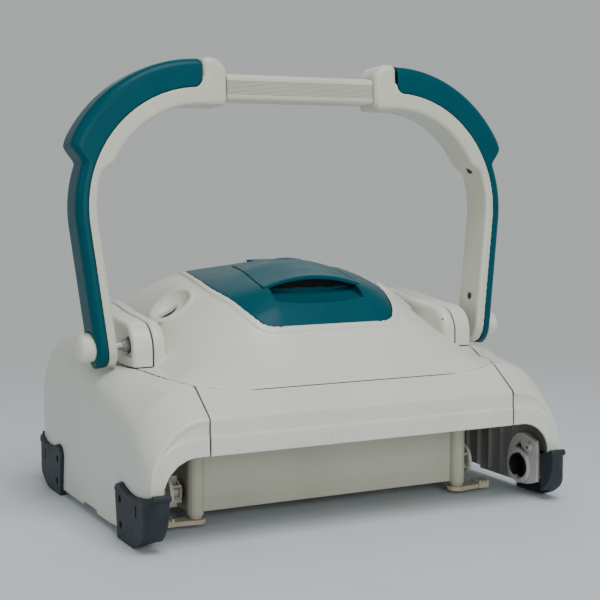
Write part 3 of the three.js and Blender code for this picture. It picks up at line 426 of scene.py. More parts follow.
def shade_eye_lining(material):
    """Painted shade: blackens the lining of the bearing plates' oval eyes, for the shade inside them."""
    nodes = material.node_tree.nodes
    links = material.node_tree.links
    base = nodes["Principled BSDF"].inputs["Base Color"]
    colour = base.links[0].from_socket
    where = nodes.new("ShaderNodeTexCoord")
    folded = nodes.new("ShaderNodeVectorMath")
    folded.operation = "ABSOLUTE"
    centred = nodes.new("ShaderNodeVectorMath")
    centred.operation = "SUBTRACT"
    centred.inputs[1].default_value = (0, EYE_Y * MM, EYE_Z * MM)
    flat = nodes.new("ShaderNodeVectorMath")
    flat.operation = "MULTIPLY"
    flat.inputs[1].default_value = (0, 1, EYE_WIDE / EYE_TALL)
    reach = nodes.new("ShaderNodeVectorMath")
    reach.operation = "LENGTH"
    ring = nodes.new("ShaderNodeMapRange")
    ring.inputs["From Min"].default_value = (EYE_WIDE + 0.3) * MM
    ring.inputs["From Max"].default_value = (EYE_WIDE + 0.9) * MM
    eye_shade = nodes.new("ShaderNodeMix")
    eye_shade.data_type = "RGBA"
    eye_shade.inputs["A"].default_value = (0.012, 0.012, 0.012, 1)
    links.new(where.outputs["Object"], folded.inputs[0])
    links.new(folded.outputs["Vector"], centred.inputs[0])
    links.new(centred.outputs["Vector"], flat.inputs[0])
    links.new(flat.outputs["Vector"], reach.inputs[0])
    links.new(reach.outputs["Value"], ring.inputs["Value"])
    links.new(ring.outputs["Result"], eye_shade.inputs["Factor"])
    links.new(colour, eye_shade.inputs["B"])
    links.new(eye_shade.outputs["Result"], base)
    return material


EYE_Y = 110
EYE_Z = 28
EYE_WIDE = 13.5
EYE_TALL = 11.5
# Bearing plates: grey plastic with painted shade in their oval eyes.
PLATE = shade_eye_lining(plastic("plate_plastic", (0.5, 0.49, 0.47), 0.5, tint=0.16, grain=0.1, shade_and_grime=6,
                           shade_and_dirt_tint=BROWN))
BY_SLOT = {
    "white_shell": WHITE,
    "cream_plastic": CREAM,
    "grey_plastic": GREY,
    "teal_plastic": TEAL,
    "slate_rubber": SLATE,
    "beige_plastic": BEIGE,
    "filter_plastic": FILTER,
    "black_plastic": BLACK,
    "steel": STEEL,
}


def finish_cad_nodes():
    """Gives each CAD node its material and a small moulded edge."""
    for row in RECORD["subparts"]:
        node = frame["nodes"][row["node"]]
        node.data.materials.clear()
        # Screws get the darkened steel, painted shade for their holes; bearing plates get painted shade in their
        # eyes.
        special = {"screw": SHADED_STEEL, "bearing": PLATE}
        chosen = [look for word, look in special.items() if word in row["node"]]
        node.data.materials.append(chosen[0] if chosen else BY_SLOT[row["material_slot"]])
        edge = node.modifiers.new("edge", "BEVEL")
        edge.width = 0.4 * MM
        edge.segments = 2
        edge.limit_method = "ANGLE"
        edge.angle_limit = math.radians(35)
        edge.harden_normals = True


# ---- the body's curved skin ---------------------------------------------------------------------
# Half-width and height of the seam round the dome's foot, by y; beams and side covers follow it.
SEAM_SIDE = ((-115, BEAM_HALF), (-75, 164), (-40, 176), (-10, 180), (40, 180), (90, 176),
             (122, 165), (128, BEAM_HALF))
SEAM_RISE = ((-124, 125), (-115, 130.5), (-75, 133), (-40, 137), (-10, 136), (40, 146),
             (90, 158), (122, 153.5), (128, 149))
seam_x = through((-124, 98), (-123, 112), (-121, 127), (-118, 141), *SEAM_SIDE)
seam_z = through(*SEAM_RISE)
hump_centre = through((-124, 125), (-100, 147), (-75, 171), (-61, 188), (-36, 210), (-10, 219),
                      (14, 224), (45, 223), (73, 220), (92, 216), (108, 198), (120, 168), (128, 148))
hump_middle = through((-124, 125), (-100, 147), (-75, 171), (-61, 187), (-36, 204), (-10, 211),
                      (14, 216), (45, 217.5), (73, 216), (92, 213), (108, 195), (120, 166), (128, 148))
hump_edge = through((-124, 125), (-100, 144), (-75, 164), (-60, 175.8), (-45, 185), (-25, 193.8),
                    (4, 201.5), (45, 208), (73, 210.5), (92, 209), (108, 190), (120, 164), (128, 148))
hump_valley = through((-124, 125), (-75, 149), (-35, 163), (-5, 173), (20, 182), (60, 189),
                      (92, 191), (108, 178), (120, 160), (128, 148))
pod_top = through((-14, 177), (30, 181), (79, 187), (98, 187), (112, 178), (122, 160))
cover_x = through((-75, 50), (-74, 56.5), (-72, 62.5), (-68, 68), (-60, 73), (-48, 77.5), (4, 86),
                  (63, 84), (84, 79), (91, 70), (94, 60))
COVER_FRONT = -75
COVER_REAR = 94


def hump_row(y):
    """Height of the hump across one row, as a function of x."""
    rim = min(seam_x(y), POD_OUT - 2)
    across = through((-CROWN_X, hump_middle(y)), (0, hump_centre(y)), (CROWN_X, hump_middle(y)),
                     (85, hump_edge(y)), (min(128, rim - 6), hump_valley(y)), (rim, seam_z(y)))
    return lambda x: across(abs(x))


def hump_body(half_width, sink, floor, rows, columns=80):
    loops = []
    for y in rows:
        height = hump_row(y)
        width = half_width(y)
        loops.append([(x, y, height(x) - sink) for x in np.linspace(-width, width, columns)])
        loops[-1] += [(width, y, floor), (-width, y, floor)]
    return loft(loops)


def ledge_body(inset, sink, floor, rows):
    """The low ledge under the rails."""
    loops = []
    for y in rows:
        width = seam_x(y) - inset
        top = seam_z(y) - sink
        loops.append([(-width, y, top), (width, y, top), (width, y, floor), (-width, y, floor)])
    return loft(loops)


def pod_outline(inset, foot):
    """Side view of the pods and rails: round nose, long rising top, steep tail."""
    nose = 26 - inset
    points = [(PIVOT_Y - nose, foot)]
    points += arc(PIVOT_Y, 151, nose, 180, 90, 18)
    points += [(y, pod_top(y) - inset) for y in np.linspace(4, 119 - inset, 30)]
    points.append((122 - inset, foot))
    return points


def rounded_pod(start, end, inset, foot, radius_in, radius_out):
    """An outline pushed along X with rounded rims at both ends."""
    loops = []
    for turn in np.linspace(0, math.pi / 2, 7):
        shrink = radius_in * (1 - math.sin(turn))
        at = start + radius_in * (1 - math.cos(turn))
        loops.append([(at, u, v) for u, v in pod_outline(inset + shrink, foot)])
    for turn in np.linspace(math.pi / 2, 0, 7):
        shrink = radius_out * (1 - math.sin(turn))
        at = end - radius_out * (1 - math.cos(turn))
        loops.append([(at, u, v) for u, v in pod_outline(inset + shrink, foot)])
    return loft(loops)


def cover_body(grow, lift, sink):
    """The outlet cover's plan, grown evenly, as a slab that follows the hump."""
    middle = (COVER_FRONT + COVER_REAR) / 2
    reach = (COVER_REAR - COVER_FRONT) / 2
    widest = cover_x(4)
    loops = []
    for y in crowded(COVER_FRONT, COVER_REAR, 120):
        at = middle + (y - middle) * (reach + grow) / reach
        width = cover_x(y) * (widest + grow) / widest
        height = hump_row(at)
        across = np.linspace(-width, width, 50)
        loops.append([(x, at, height(x) + lift) for x in across])
        loops[-1] += [(x, at, height(x) - sink) for x in across[::-1]]
    return loft(loops)


def lid_body(grow, lift, sink):
    """The lid's plate: a plain arch across, with a raised front lip."""
    loops = []
    for y in np.linspace(LID_FRONT - grow, LID_REAR + grow, 60):
        back = max(0, (y - LID_FRONT) / (LID_REAR - LID_FRONT))
        width = LID_HALF + grow - 6 * back**2
        crown = hump_row(y)(0)
        drop = crown - hump_row(y)(CROWN_X)
        front = min(1, max(0, (LID_FRONT + 16 - y) / 16))
        lip = 2.4 * front**2
        across = np.linspace(-width, width, 60)
        bend = (across / CROWN_X) ** 2
        rise = list(crown - drop * bend + lip * (1 - 0.5 * bend))
        loops.append([(x, y, z + lift) for x, z in zip(across, rise)])
        loops[-1] += [(x, y, z - sink) for x, z in zip(across[::-1], rise[::-1])]
    return loft(loops)


def scoop(wall):
    """Dish in front of the lid that runs on under its lip."""
    slope = Matrix.Rotation(math.radians(27), 4, "X")
    bowl = ball((0, LID_FRONT - 4, 206.5), (84 + wall, 28 + wall, 12.5 + wall), slope)
    return within(bowl, box(-46 - wall, 46 + wall, -80, LID_FRONT + 7 + wall, 150, 260))


# ---- dome ---------------------------------------------------------------------------------------
DISH_X = 121
DISH_Y = 16
POD_SCREW = (PIVOT_Y - 19, PIVOT_Z + 9)


def dish_turn(side):
    """Turns a shape to lie on the flank's slope at the dish."""
    height = hump_row(DISH_Y)
    across = (height(DISH_X + 12) - height(DISH_X - 12)) / 24
    along = (hump_row(DISH_Y + 15)(DISH_X) - hump_row(DISH_Y - 15)(DISH_X)) / 30
    return Matrix.Rotation(-math.atan(across) * side, 4, "Y") @ Matrix.Rotation(math.atan(along), 4, "X")


def dish(wall, side):
    """Oval dish low on the flank, between the pod and the outlet cover."""
    centre = (side * DISH_X, DISH_Y, hump_row(DISH_Y)(DISH_X) + 1)
    return ball(centre, (20 + wall, 16.5 + wall, 11 + wall), dish_turn(side))


def dish_ring(side):
    """Raised rim around the dish."""
    centre = (side * DISH_X, DISH_Y, hump_row(DISH_Y)(DISH_X))
    return ball(centre, (25, 21, 2.6), dish_turn(side))


def dish_slot(side):
    """Narrow opening through the floor of the dish."""
    ends = []
    for x, y, depth in ((DISH_X + 10, DISH_Y + 8, 6), (DISH_X - 9, DISH_Y + 9, 10)):
        ends.append(Vector((side * x, y, hump_row(y)(x) - depth)))
    along = ends[1] - ends[0]
    turn = along.to_track_quat("X", "Z").to_matrix().to_4x4()
    return ball((ends[0] + ends[1]) / 2, (along.length / 2 + 1, 3, 8), turn)


def outer_width(y):
    return min(seam_x(y), POD_OUT - 2) - SEAM


def inner_width(y):
    return min(seam_x(y), POD_OUT - 2) - 2 * SKIN


def dome():
    """The top shell: hump, ledge, pods and dishes, hollow underneath."""
    rows = crowded(DOME_FRONT + SEAM, DOME_REAR - SEAM, 120)
    inner = [y for y in rows if -119 < y < 122]
    rim = 5
    proud = 2.2
    shell = plus(hump_body(outer_width, 0, DOME_FOOT, rows), ledge_body(SEAM, 0, DOME_FOOT, rows))
    for side in (1, -1):
        pod = rounded_pod(POD_IN, POD_OUT - SEAM, 0, 121, 6, 2)
        plus(shell, pod if side > 0 else flipped(pod))
    plus(shell, cover_body(rim, proud, 5))
    hollow = plus(hump_body(inner_width, SKIN, DOME_FOOT - 9, inner, 40),
                  ledge_body(2 * SKIN, SKIN, DOME_FOOT - 9, inner))
    minus(hollow, dish(2.5, 1), dish(2.5, -1))
    for side in (1, -1):
        plus(shell, within(dish(3, side), hump_body(outer_width, 0, DOME_FOOT, rows)), dish_ring(side))
    minus(shell, hollow, cover_body(2 * GAP, 20, 40))
    for side in (1, -1):
        seat = sorted((side * (POD_OUT - 10), side * (POD_OUT + 10)))
        minus(shell, dish(0, side), rod("x", *seat, (PIVOT_Y, PIVOT_Z), PIVOT_BORE))
    moulded(shell, 0.8, 7, 0.35)
    drilled(shell, dish_slot(1), dish_slot(-1), rod("x", POD_IN - 4, POD_IN + 5, POD_SCREW, 1.4))
    shell.data.shade_smooth()
    placed(shell, "dome", "body", WHITE)
    blacken_seam(shell)


def blacken_seam(shell):
    """Painted shade: faces down in the seam around the dome's foot get the black material, for the shadow in the
    seam.
    """
    shell.data.materials.append(BLACK)
    for face in shell.data.polygons:
        x = abs(face.center.x) / MM
        row = face.center.y / MM
        at_edge = x > seam_x(row) - 2.5 or not DOME_FRONT + 2.5 < row < DOME_REAR - 2.5
        if at_edge and face.center.z / MM < seam_z(row) - 0.5:
            face.material_index = 1


def rails():
    """Rails with a shallow pocket, and a dark well round the pin."""
    body = rounded_pod(POD_OUT + GAP, RAIL_OUT, 0.6, 130, 1, 3.5)
    pocket = prism("x", pod_outline(7, 146), RAIL_OUT - 4, RAIL_OUT + 5)
    well = rod("x", RAIL_OUT - 9, RAIL_OUT + 5, (PIVOT_Y, PIVOT_Z), 7.5)
    bore = rod("x", POD_OUT - 10, RAIL_OUT + 12, (PIVOT_Y, PIVOT_Z), PIVOT_BORE)
    ledge = ledge_body(-20, -2 * GAP, 100, crowded(DOME_FRONT, DOME_REAR, 60))
    tail = box(POD_OUT - 10, RAIL_OUT + 12, high("pivot_rail_right")[1], 140, 100, 200)
    minus(body, pocket, well, bore, ledge, tail)
    placed_pair(moulded(body, 0.7, 2), "pivot_rail", "body", WHITE)


# ---- outlet cover and lid -------------------------------------------------------------------------
KNUCKLE_R = 2.7
KNUCKLE_HALF = 22
LUG_END = 28


def outlet_cover():
    """The teal saddle with the finger scoop and two hinge lugs."""
    skin = cover_body(0, 1.2, 6)
    plus(skin, within(scoop(3), cover_body(0, 1, 40)))
    well = KNUCKLE_R + 1.6
    minus(skin, lid_body(GAP + 0.3, 8, 2.4), box(-41, 41, -26, 36, 150, 260), scoop(0),
          box(-KNUCKLE_HALF - GAP, KNUCKLE_HALF + GAP, HINGE_Y - well, HINGE_Y + well,
              HINGE_Z - 20, HINGE_Z + 20))
    for start in (-LUG_END, KNUCKLE_HALF + GAP):
        end = start + LUG_END - KNUCKLE_HALF - GAP
        plus(skin, rod("x", start, end, (HINGE_Y, HINGE_Z), KNUCKLE_R),
             box(start, end, HINGE_Y - 2.4, HINGE_Y + 2.4, HINGE_Z - 6, HINGE_Z))
    placed(moulded(skin, 0.7, 9, 0.5), "outlet_cover", "body", TEAL)
    blacken_throat(skin)


def blacken_throat(skin):
    """Painted shade: faces under the lid's lip get the black material, for the shadow in the throat beneath it."""
    skin.data.materials.append(BLACK)
    for face in skin.data.polygons:
        x, y, z = [value / MM for value in face.center]
        under = hump_row(y)(0) - z
        if LID_FRONT + 1.5 < y < LID_FRONT + 12 and abs(x) < 47 and 1.5 < under < 11:
            face.material_index = 1


def outlet_lid():
    """The lid, with an oval medallion of plain vent slots on its crown."""
    lid = lid_body(0, 1.6, 2.4)
    crown = hump_row(20)(0)
    plus(lid, ball((0, 20, crown - 3), (23, 15, 6.2)),
         rod("x", -KNUCKLE_HALF, KNUCKLE_HALF, (HINGE_Y, HINGE_Z), KNUCKLE_R),
         box(-KNUCKLE_HALF, KNUCKLE_HALF, LID_REAR - 2, HINGE_Y, HINGE_Z - 1, HINGE_Z + 2))
    slots = [box(x - 0.9, x + 0.9, 13, 27, crown + 1.6, crown + 20) for x in range(-12, 13, 4)]
    minus(lid, rod("x", -KNUCKLE_HALF - 1, KNUCKLE_HALF + 1, (HINGE_Y, HINGE_Z), 1.75), *slots)
    placed(moulded(lid, 0.65, 4, 0.5), "outlet_lid", "lid", TEAL)


# ---- side covers ----------------------------------------------------------------------------------
BEAM_KINK = 108
REAR_KINK = 136
cover_seam_x = through((-FRONT, BEAM_HALF), *SEAM_SIDE, (FRONT, BEAM_HALF))
cover_seam_z = through((-FRONT, BEAM_KINK), *SEAM_RISE, (FRONT, REAR_KINK))
side_top = through((-FRONT, 51), (-137, 64), (-124, 75), (-107, 88), (-87, 99), (-60, 107),
                   (-35, 111), (0, 117), (40, 123), (80, 128), (115, 123), (138, 108), (FRONT, 96))
side_x = through((-FRONT, 204.5), (-120, 207.5), (-60, SIDE), (60, SIDE), (125, SIDE), (FRONT, 206))
COVER_FOOT = 6


def cover_profile(y, inset, steps=26):
    seam = cover_seam_x(y) + SEAM
    top = cover_seam_z(y) - inset
    out = side_x(y) - inset
    shoulder = side_top(y)
    points = []
    for turn in np.linspace(0, math.pi / 2, steps):
        reach = math.sin(turn) ** 0.94
        rise = max(math.cos(turn), 0) ** 0.94
        points.append((seam + (out - seam) * reach, y, shoulder + (top - shoulder) * rise))
    return [*points, (out, y, COVER_FOOT)]


def end_plate(facing):
    """Plate between the brush opening's arch and the skin, set back behind the arch's band."""
    back = 1
    face = facing * FRONT
    row = facing * (FRONT - 0.01)
    arch = arc(ARCH_X, BEAM_UNDER - ARCH_R, ARCH_R, 90, 0, 18)
    outline = [(BEAM_HALF + SEAM, BEAM_UNDER), *arch, (ARCH_X + ARCH_R, COVER_FOOT)]
    outline += [(x, z) for x, _, z in reversed(cover_profile(row, 1))]
    near = face - facing * back
    far = face - facing * SKIN
    plate = prism("y", outline, *sorted((near, far)))
    edge = arc(ARCH_X, BEAM_UNDER - ARCH_R, ARCH_R + 15.5, 90, 42, 14)
    edge += arc(ARCH_X, BEAM_UNDER - ARCH_R, ARCH_R, 12, 90, 14)
    band = [(BEAM_HALF + SEAM, BEAM_UNDER + 15.5), *edge, (BEAM_HALF + SEAM, BEAM_UNDER)]
    return plus(plate, prism("y", band, *sorted((face, far))))


def bumper_outline(grow):
    points = [(-83 + grow, -1 - grow), (-78 + grow, 38)]
    points += bow((-78 + grow, 38), (-78 + grow, 48 + grow), (-92, 48 + grow))
    points += bow((-92, 48 + grow), (-104, 43 + grow), (-118, 42.5 + grow))[1:]
    points += bow((-118, 42.5 + grow), (-138, 42.5 + grow), (-148, 46 + grow))[1:]
    points += [(-158 - grow, 49 + grow), (-158 - grow, -1 - grow)]
    return points


def bumper_plan(grow, thick):
    outer = BUMPER_OUT + grow
    front = BUMPER_FRONT - grow
    points = [(191.5 - grow, front)]
    points += arc(outer - 14, front + 14, 14, -90, 0, 12)
    points += [(outer, -70), (outer - thick, -70), (outer - thick, -128)]
    points += bow((outer - thick, -128), (outer - thick, -138), (outer - thick - 8, -139), 8)[1:]
    points.append((191.5 - grow, -139))
    return points


def bumper_blank(grow, thick, rounded=True):
    blank = within(prism("z", bumper_plan(grow, thick), -1 - grow, 60),
                   prism("x", bumper_outline(grow), 180, 220))
    if not rounded:
        return blank
    keep = plus(rod("x", 180, 220, (-114, 44), 44 + grow, sides=90), box(180, 220, -170, -60, 44, 80),
                box(180, 220, -114, -60, 0, 80))
    return within(blank, keep)


BUMPER_SCREWS = ((-90, 35), (-92, 13))


def bumpers():
    """Soft corners with a raised rim along the top edge and a narrow slot."""
    rim_height = 7
    proud = 0.7
    band = bumper_blank(proud, 6 + proud)
    lowered = prism("x", [(u, v - rim_height) for u, v in bumper_outline(4)], 170, 230)
    minus(band, lowered)
    body = plus(bumper_blank(0, 6), band, rod("x", 190, 206, (-155, 47.5), 3))
    minus(body, box(207.5, 215, -131, -128, 28, 38))
    minus(body, *[rod("x", 200, 215, at, 3.2) for at in BUMPER_SCREWS])
    moulded(body, 0.6, 2)
    rear = mirrored(body, 1)
    placed_pair(body, "bumper_front", "body", SLATE)
    placed_pair(rear, "bumper_rear", "body", SLATE)


def side_covers():
    """Side shells with bumper pockets, inner ribs and a clean edge along the dome's foot."""
    loops = []
    for y in crowded(-FRONT, FRONT, 90):
        loops.append(cover_profile(y, 0) + cover_profile(y, SKIN)[::-1])
    cover = plus(loft(loops), end_plate(-1), end_plate(1))
    for rear in (False, True):
        pocket = plus(bumper_blank(GAP, 6.6, False), rod("x", 180, 220, (-155, 47.5), 3.3))
        tools = [pocket, *[rod("x", 190, 215, at, SCREW_BORE) for at in BUMPER_SCREWS]]
        minus(cover, *[flipped(tool, 1) if rear else tool for tool in tools])
    minus(cover, box(200, 215, -20, 20, 0, 9))
    for y in np.linspace(-80, 80, 9):
        plus(cover, box(SIDE - SKIN - 4, SIDE - 1.5, y - 0.9, y + 0.9, COVER_FOOT + 4, 96))
    moulded(cover, 1.0, 3, 0.5)
    minus(cover, dome_clearance())
    cover.data.shade_smooth()
    twin = mirrored(cover)
    placed(cover, "side_cover_right", "body", WHITE)
    placed(twin, "side_cover_left", "body", WHITE)
    shade_inside(cover, 1)
    shade_inside(twin, -1)


def shade_inside(cover, side):
    """Painted shade: a darker grey copy of the shell on the inner faces and ribs, for the shade inside the cover.
    """
    cover.data.materials.append(INNER_SHADE)
    for face in cover.data.polygons:
        x, y, z = [abs(value) / MM for value in face.center]
        inward = face.normal.x * side < -0.3 and y < FRONT - 6 and z < 105
        rib = x < SIDE - SKIN + 0.6 and y < 83 and z < 97
        if inward or rib:
            face.material_index = 1


def dome_clearance():
    """Everything over the seam round the dome's foot."""
    return ledge_body(-SEAM / 2, -20, 60, [-124.2, *crowded(DOME_FRONT, DOME_REAR, 110), 128.2])


def beam_outline(kink, seam_y, seam):
    """Section of a beam: sill strip, face, rounded kink and a top that meets the dome."""
    face = -FRONT
    sill = BEAM_UNDER + 15.5
    rise = (seam - kink) / (FRONT - 1 - seam_y)
    inner = -seam_y + 12 + GAP
    points = [(face, BEAM_UNDER), (face, sill), (face + 1, sill + 1), (face + 1, kink - 2.5)]
    points += bow((face + 1, kink - 2.5), (face + 1, kink), (face + 3.5, kink + 2.5 * rise), 6)[1:]
    points += [(inner, seam + 12 * rise), (inner, seam + 12 * rise - SKIN - 1)]
    points += [(face + SKIN + 2, kink - SKIN), (face + SKIN + 1, BEAM_UNDER)]
    return points


def beam(node, kink, seam_y, seam, rear):
    """One beam with its row of small sill ribs."""
    half = BEAM_HALF - SEAM
    body = prism("x", beam_outline(kink, seam_y, seam), -half, half)
    for x in np.linspace(-half + 25, half - 25, 10):
        plus(body, box(x - 0.8, x + 0.8, -FRONT - 0.9, -FRONT + 2, BEAM_UNDER + 4, BEAM_UNDER + 13.5))
    if rear:
        flipped(body, 1)
    moulded(body, 0.8, 2, 0.4)
    minus(body, dome_clearance())
    body.data.shade_smooth()
    placed(body, node, "body", WHITE)


def beams():
    beam("front_beam", BEAM_KINK, 124, 125, False)
    beam("rear_beam", REAR_KINK, 128, 149, True)


# ---- handle ---------------------------------------------------------------------------------------
ARC_END = BEND_R * (math.pi / 2 + ARM_LEAN)
STEP_S = BEND_R * (math.pi / 2 - NECK)
LIP_S = BEND_R * (math.pi / 2 - LIP)
ARM_SCREWS = (STEP_S - 2, 266)


def arm_point(s):
    """Point and outward direction on the parting line, from collar to foot."""
    if s < 0:
        return BEND_X + s, BEND_Z + BEND_R, 0, 1
    if s < ARC_END:
        a = math.pi / 2 - s / BEND_R
        return BEND_X + BEND_R * math.cos(a), BEND_Z + BEND_R * math.sin(a), math.cos(a), math.sin(a)
    nx = math.cos(ARM_LEAN)
    nz = -math.sin(ARM_LEAN)
    run = s - ARC_END
    return BEND_X + BEND_R * nx + run * nz, BEND_Z + BEND_R * nz - run * nx, nx, nz


FOOT_S = ARC_END + (arm_point(ARC_END)[1] - PIVOT_Z) / math.cos(ARM_LEAN) + ARM_HALF
out_thick = through((0, PAD_OUT), (LIP_S - 8, PAD_OUT + 0.5), (LIP_S, PAD_OUT - 0.5),
                    (STEP_S, ARM_OUT), (STEP_S + 20, ARM_OUT), (FOOT_S, ARM_OUT))
edge_round = through((0, 9), (LIP_S, 9), (STEP_S, 8), (FOOT_S, 8))
in_thick = through((-20, PAD_IN), (LIP_S - 4, PAD_IN), (STEP_S + 4, ARM_IN), (FOOT_S, ARM_IN + 0.5))


def half_depth(s):
    below = PIVOT_Z - arm_point(s)[1]
    if below <= 0:
        return ARM_HALF
    return math.sqrt(max(ARM_HALF**2 - below**2, 1))


def arm_loft(rows, section):
    loops = []
    for s in rows:
        x, z, nx, nz = arm_point(s)
        loops.append([(x + out * nx, PIVOT_Y + y, z + out * nz) for out, y in section(s)])
    return loft(loops)


def cover_section(s):
    """Rounded pad: flat sides, elliptical edges and a nearly flat outer face."""
    depth = half_depth(s)
    thick = out_thick(s)
    edge = edge_round(s)
    reach = min(edge, thick - 2)
    wide = edge * depth / ARM_HALF
    points = [(GAP, -depth)]
    for turn in np.linspace(0, math.pi / 2, 8):
        points.append((thick - reach + reach * math.sin(turn), -depth + wide * (1 - math.cos(turn))))
    return points + [(out, -y) for out, y in reversed(points)]


def shell_section(s):
    depth = half_depth(s)
    thick = in_thick(s)
    return [(0, depth), (-thick + 3, depth), (-thick + 0.8, depth - 1), (-thick, depth - 3.2),
            (-thick, -depth + 3.2), (-thick + 0.8, -depth + 1), (-thick + 3, -depth), (0, -depth)]


def arm_rows(start):
    foot = FOOT_S - ARM_HALF - 0.2
    turns = np.linspace(0, math.pi / 2, 16)
    return [*np.linspace(start, foot - 2, 130), *[foot + ARM_HALF * math.sin(a) for a in turns]]


def arm_rod(s, start, end, radius):
    x, z, nx, nz = arm_point(s)
    piece = rod("x", start, end, (0, 0), radius)
    turn = Matrix.Rotation(-math.atan2(nz, nx), 4, "Y")
    return moved(piece, Matrix.Translation(Vector((x, PIVOT_Y, z)) * MM) @ turn)


def tilted(piece):
    """Leans a handle piece back about the pivot, as it stands at rest."""
    pivot = Vector((0, PIVOT_Y, PIVOT_Z)) * MM
    lean = Matrix.Rotation(-TILT, 4, "X")
    return moved(piece, Matrix.Translation(pivot) @ lean @ Matrix.Translation(-pivot))


def handle_covers():
    """The teal outer pads, hollowed for the knobs."""
    body = arm_loft(arm_rows(0), cover_section)
    minus(body, rod("x", 190, 240, (PIVOT_Y, PIVOT_Z), KNOB_R + 0.6, sides=64),
          box(BEND_X - 10, BEND_X + GAP, -60, 40, 370, 430), pad_corner(9))
    minus(body, *[arm_rod(s, -1, 6.4, SCREW_BORE) for s in ARM_SCREWS])
    placed_pair(tilted(moulded(body, 0.9)), "handle_cover", "handle", TEAL)


def pad_corner(radius):
    """The corner between collar and arm that the rounded end of the teal pad leaves."""
    side = 9
    top = BEND_Z + BEND_R + side
    corner = box(BEND_X - 2, BEND_X + side, -64, -18, top - side - 2, top)
    return minus(corner, rod("y", -74, -4, (BEND_X + side, top), radius))


def collar():
    """Rounded block at the top of each arm that takes the grip."""
    top = BEND_Z + BEND_R + PAD_OUT + 1.2
    under = BEND_Z + BEND_R - PAD_IN
    outline = [(BEND_X - GAP, under), (BEND_X - GAP, top)]
    outline += bow((GRIP_HALF + 15, top), (GRIP_HALF + 5, top - 1), (GRIP_HALF + GAP, top - 12))
    outline.append((GRIP_HALF + GAP, under))
    piece = prism("y", outline, PIVOT_Y - ARM_HALF, PIVOT_Y + ARM_HALF)
    edge = piece.modifiers.new("edge", "BEVEL")
    edge.width = 6.5 * MM
    edge.segments = 5
    return settle(piece)


def grip_socket(grow):
    return box(GRIP_HALF - 1, GRIP_HALF + 12 + grow, PIVOT_Y - 7 - grow, PIVOT_Y + 7 + grow,
               GRIP_Z - 6 - grow, GRIP_Z + 6 + grow)


def handle_shells():
    """The white inner halves of the arms, each with its collar round the grip's end."""
    filler = within(pad_corner(9 + 2 * GAP), box(BEND_X - 2, BEND_X + 9, -32.4, -19, 370, 400))
    arm = plus(arm_loft(arm_rows(GRIP_HALF + 4 - BEND_X), shell_section), collar(), filler)
    minus(arm, grip_socket(GAP), rod("x", 180, 203.4, (PIVOT_Y, PIVOT_Z), PIVOT_BORE),
          rod("x", 196, 215, (PIVOT_Y, PIVOT_Z), 6.4))
    for s in ARM_SCREWS:
        minus(arm, arm_rod(s, -20, -in_thick(s) + 2.6, 3.6), arm_rod(s, -20, 2, SCREW_BORE))
    placed_pair(tilted(moulded(arm, 0.9, 6, 0.5)), "handle_shell", "handle", AGED)


def handle_grip():
    """The bar: a rounded section with fine lengthwise ribs on its front."""
    under = GRIP_Z - 12.5
    over = GRIP_Z + 12.5
    deep = 14
    ribs = 11
    outline = bow((PIVOT_Y - deep + 5, under), (PIVOT_Y - deep, under), (PIVOT_Y - deep, under + 5))
    for i in range(ribs):
        z = under + 5.6 + i * 1.2
        outline += [(PIVOT_Y - deep, z), (PIVOT_Y - deep + 0.5, z + 0.3), (PIVOT_Y - deep, z + 0.6)]
    outline += bow((PIVOT_Y - deep, over - 5), (PIVOT_Y - deep, over), (PIVOT_Y - 2, over))
    outline += bow((PIVOT_Y - 2, over), (PIVOT_Y + deep, over), (PIVOT_Y + deep, under + 8))[1:]
    outline += bow((PIVOT_Y + deep, under + 8), (PIVOT_Y + deep, under), (PIVOT_Y + deep - 6, under))[1:]
    bar = prism("x", outline, -GRIP_HALF, GRIP_HALF)
    plus(bar, grip_socket(0), flipped(grip_socket(0)))
    bar.data.shade_smooth()
    split = bar.modifiers.new("split", "EDGE_SPLIT")
    split.split_angle = math.radians(40)
    placed(tilted(bar), "handle_grip", "handle", AGED)


def knobs():
    """Domed knobs: a turned profile about the pivot."""
    start = low("knob_right")[0]
    profile = [(0, 6), (8, 6), (8, KNOB_R), (18, KNOB_R), (20.2, KNOB_R - 0.9), (21.8, KNOB_R - 3),
               (23, KNOB_R - 6.2), (23.7, KNOB_R - 9.6), (24, 0.4)]
    turns = np.linspace(0, 2 * math.pi, 64, endpoint=False)
    loops = []
    for along, radius in profile:
        loops.append([(start + along, PIVOT_Y + radius * math.cos(a), PIVOT_Z + radius * math.sin(a))
                      for a in turns])
    body = moulded(loft(loops), 0.5, 2)
    twin = mirrored(body)
    placed(body, "knob_right", "right_knob", WHITE)
    placed(twin, "knob_left", "left_knob", WHITE)


# ---- studio ---------------------------------------------------------------------------------------
def area_light(name, place, target, size, power):
    data = bpy.data.lights.new(name, "AREA")
    data.shape = "SQUARE"
    data.size = size
    data.energy = power
    light = bpy.data.objects.new(name, data)
    light.location = place
    light.rotation_euler = (Vector(target) - Vector(place)).to_track_quat("-Z", "Y").to_euler()
    bpy.context.scene.collection.objects.link(light)


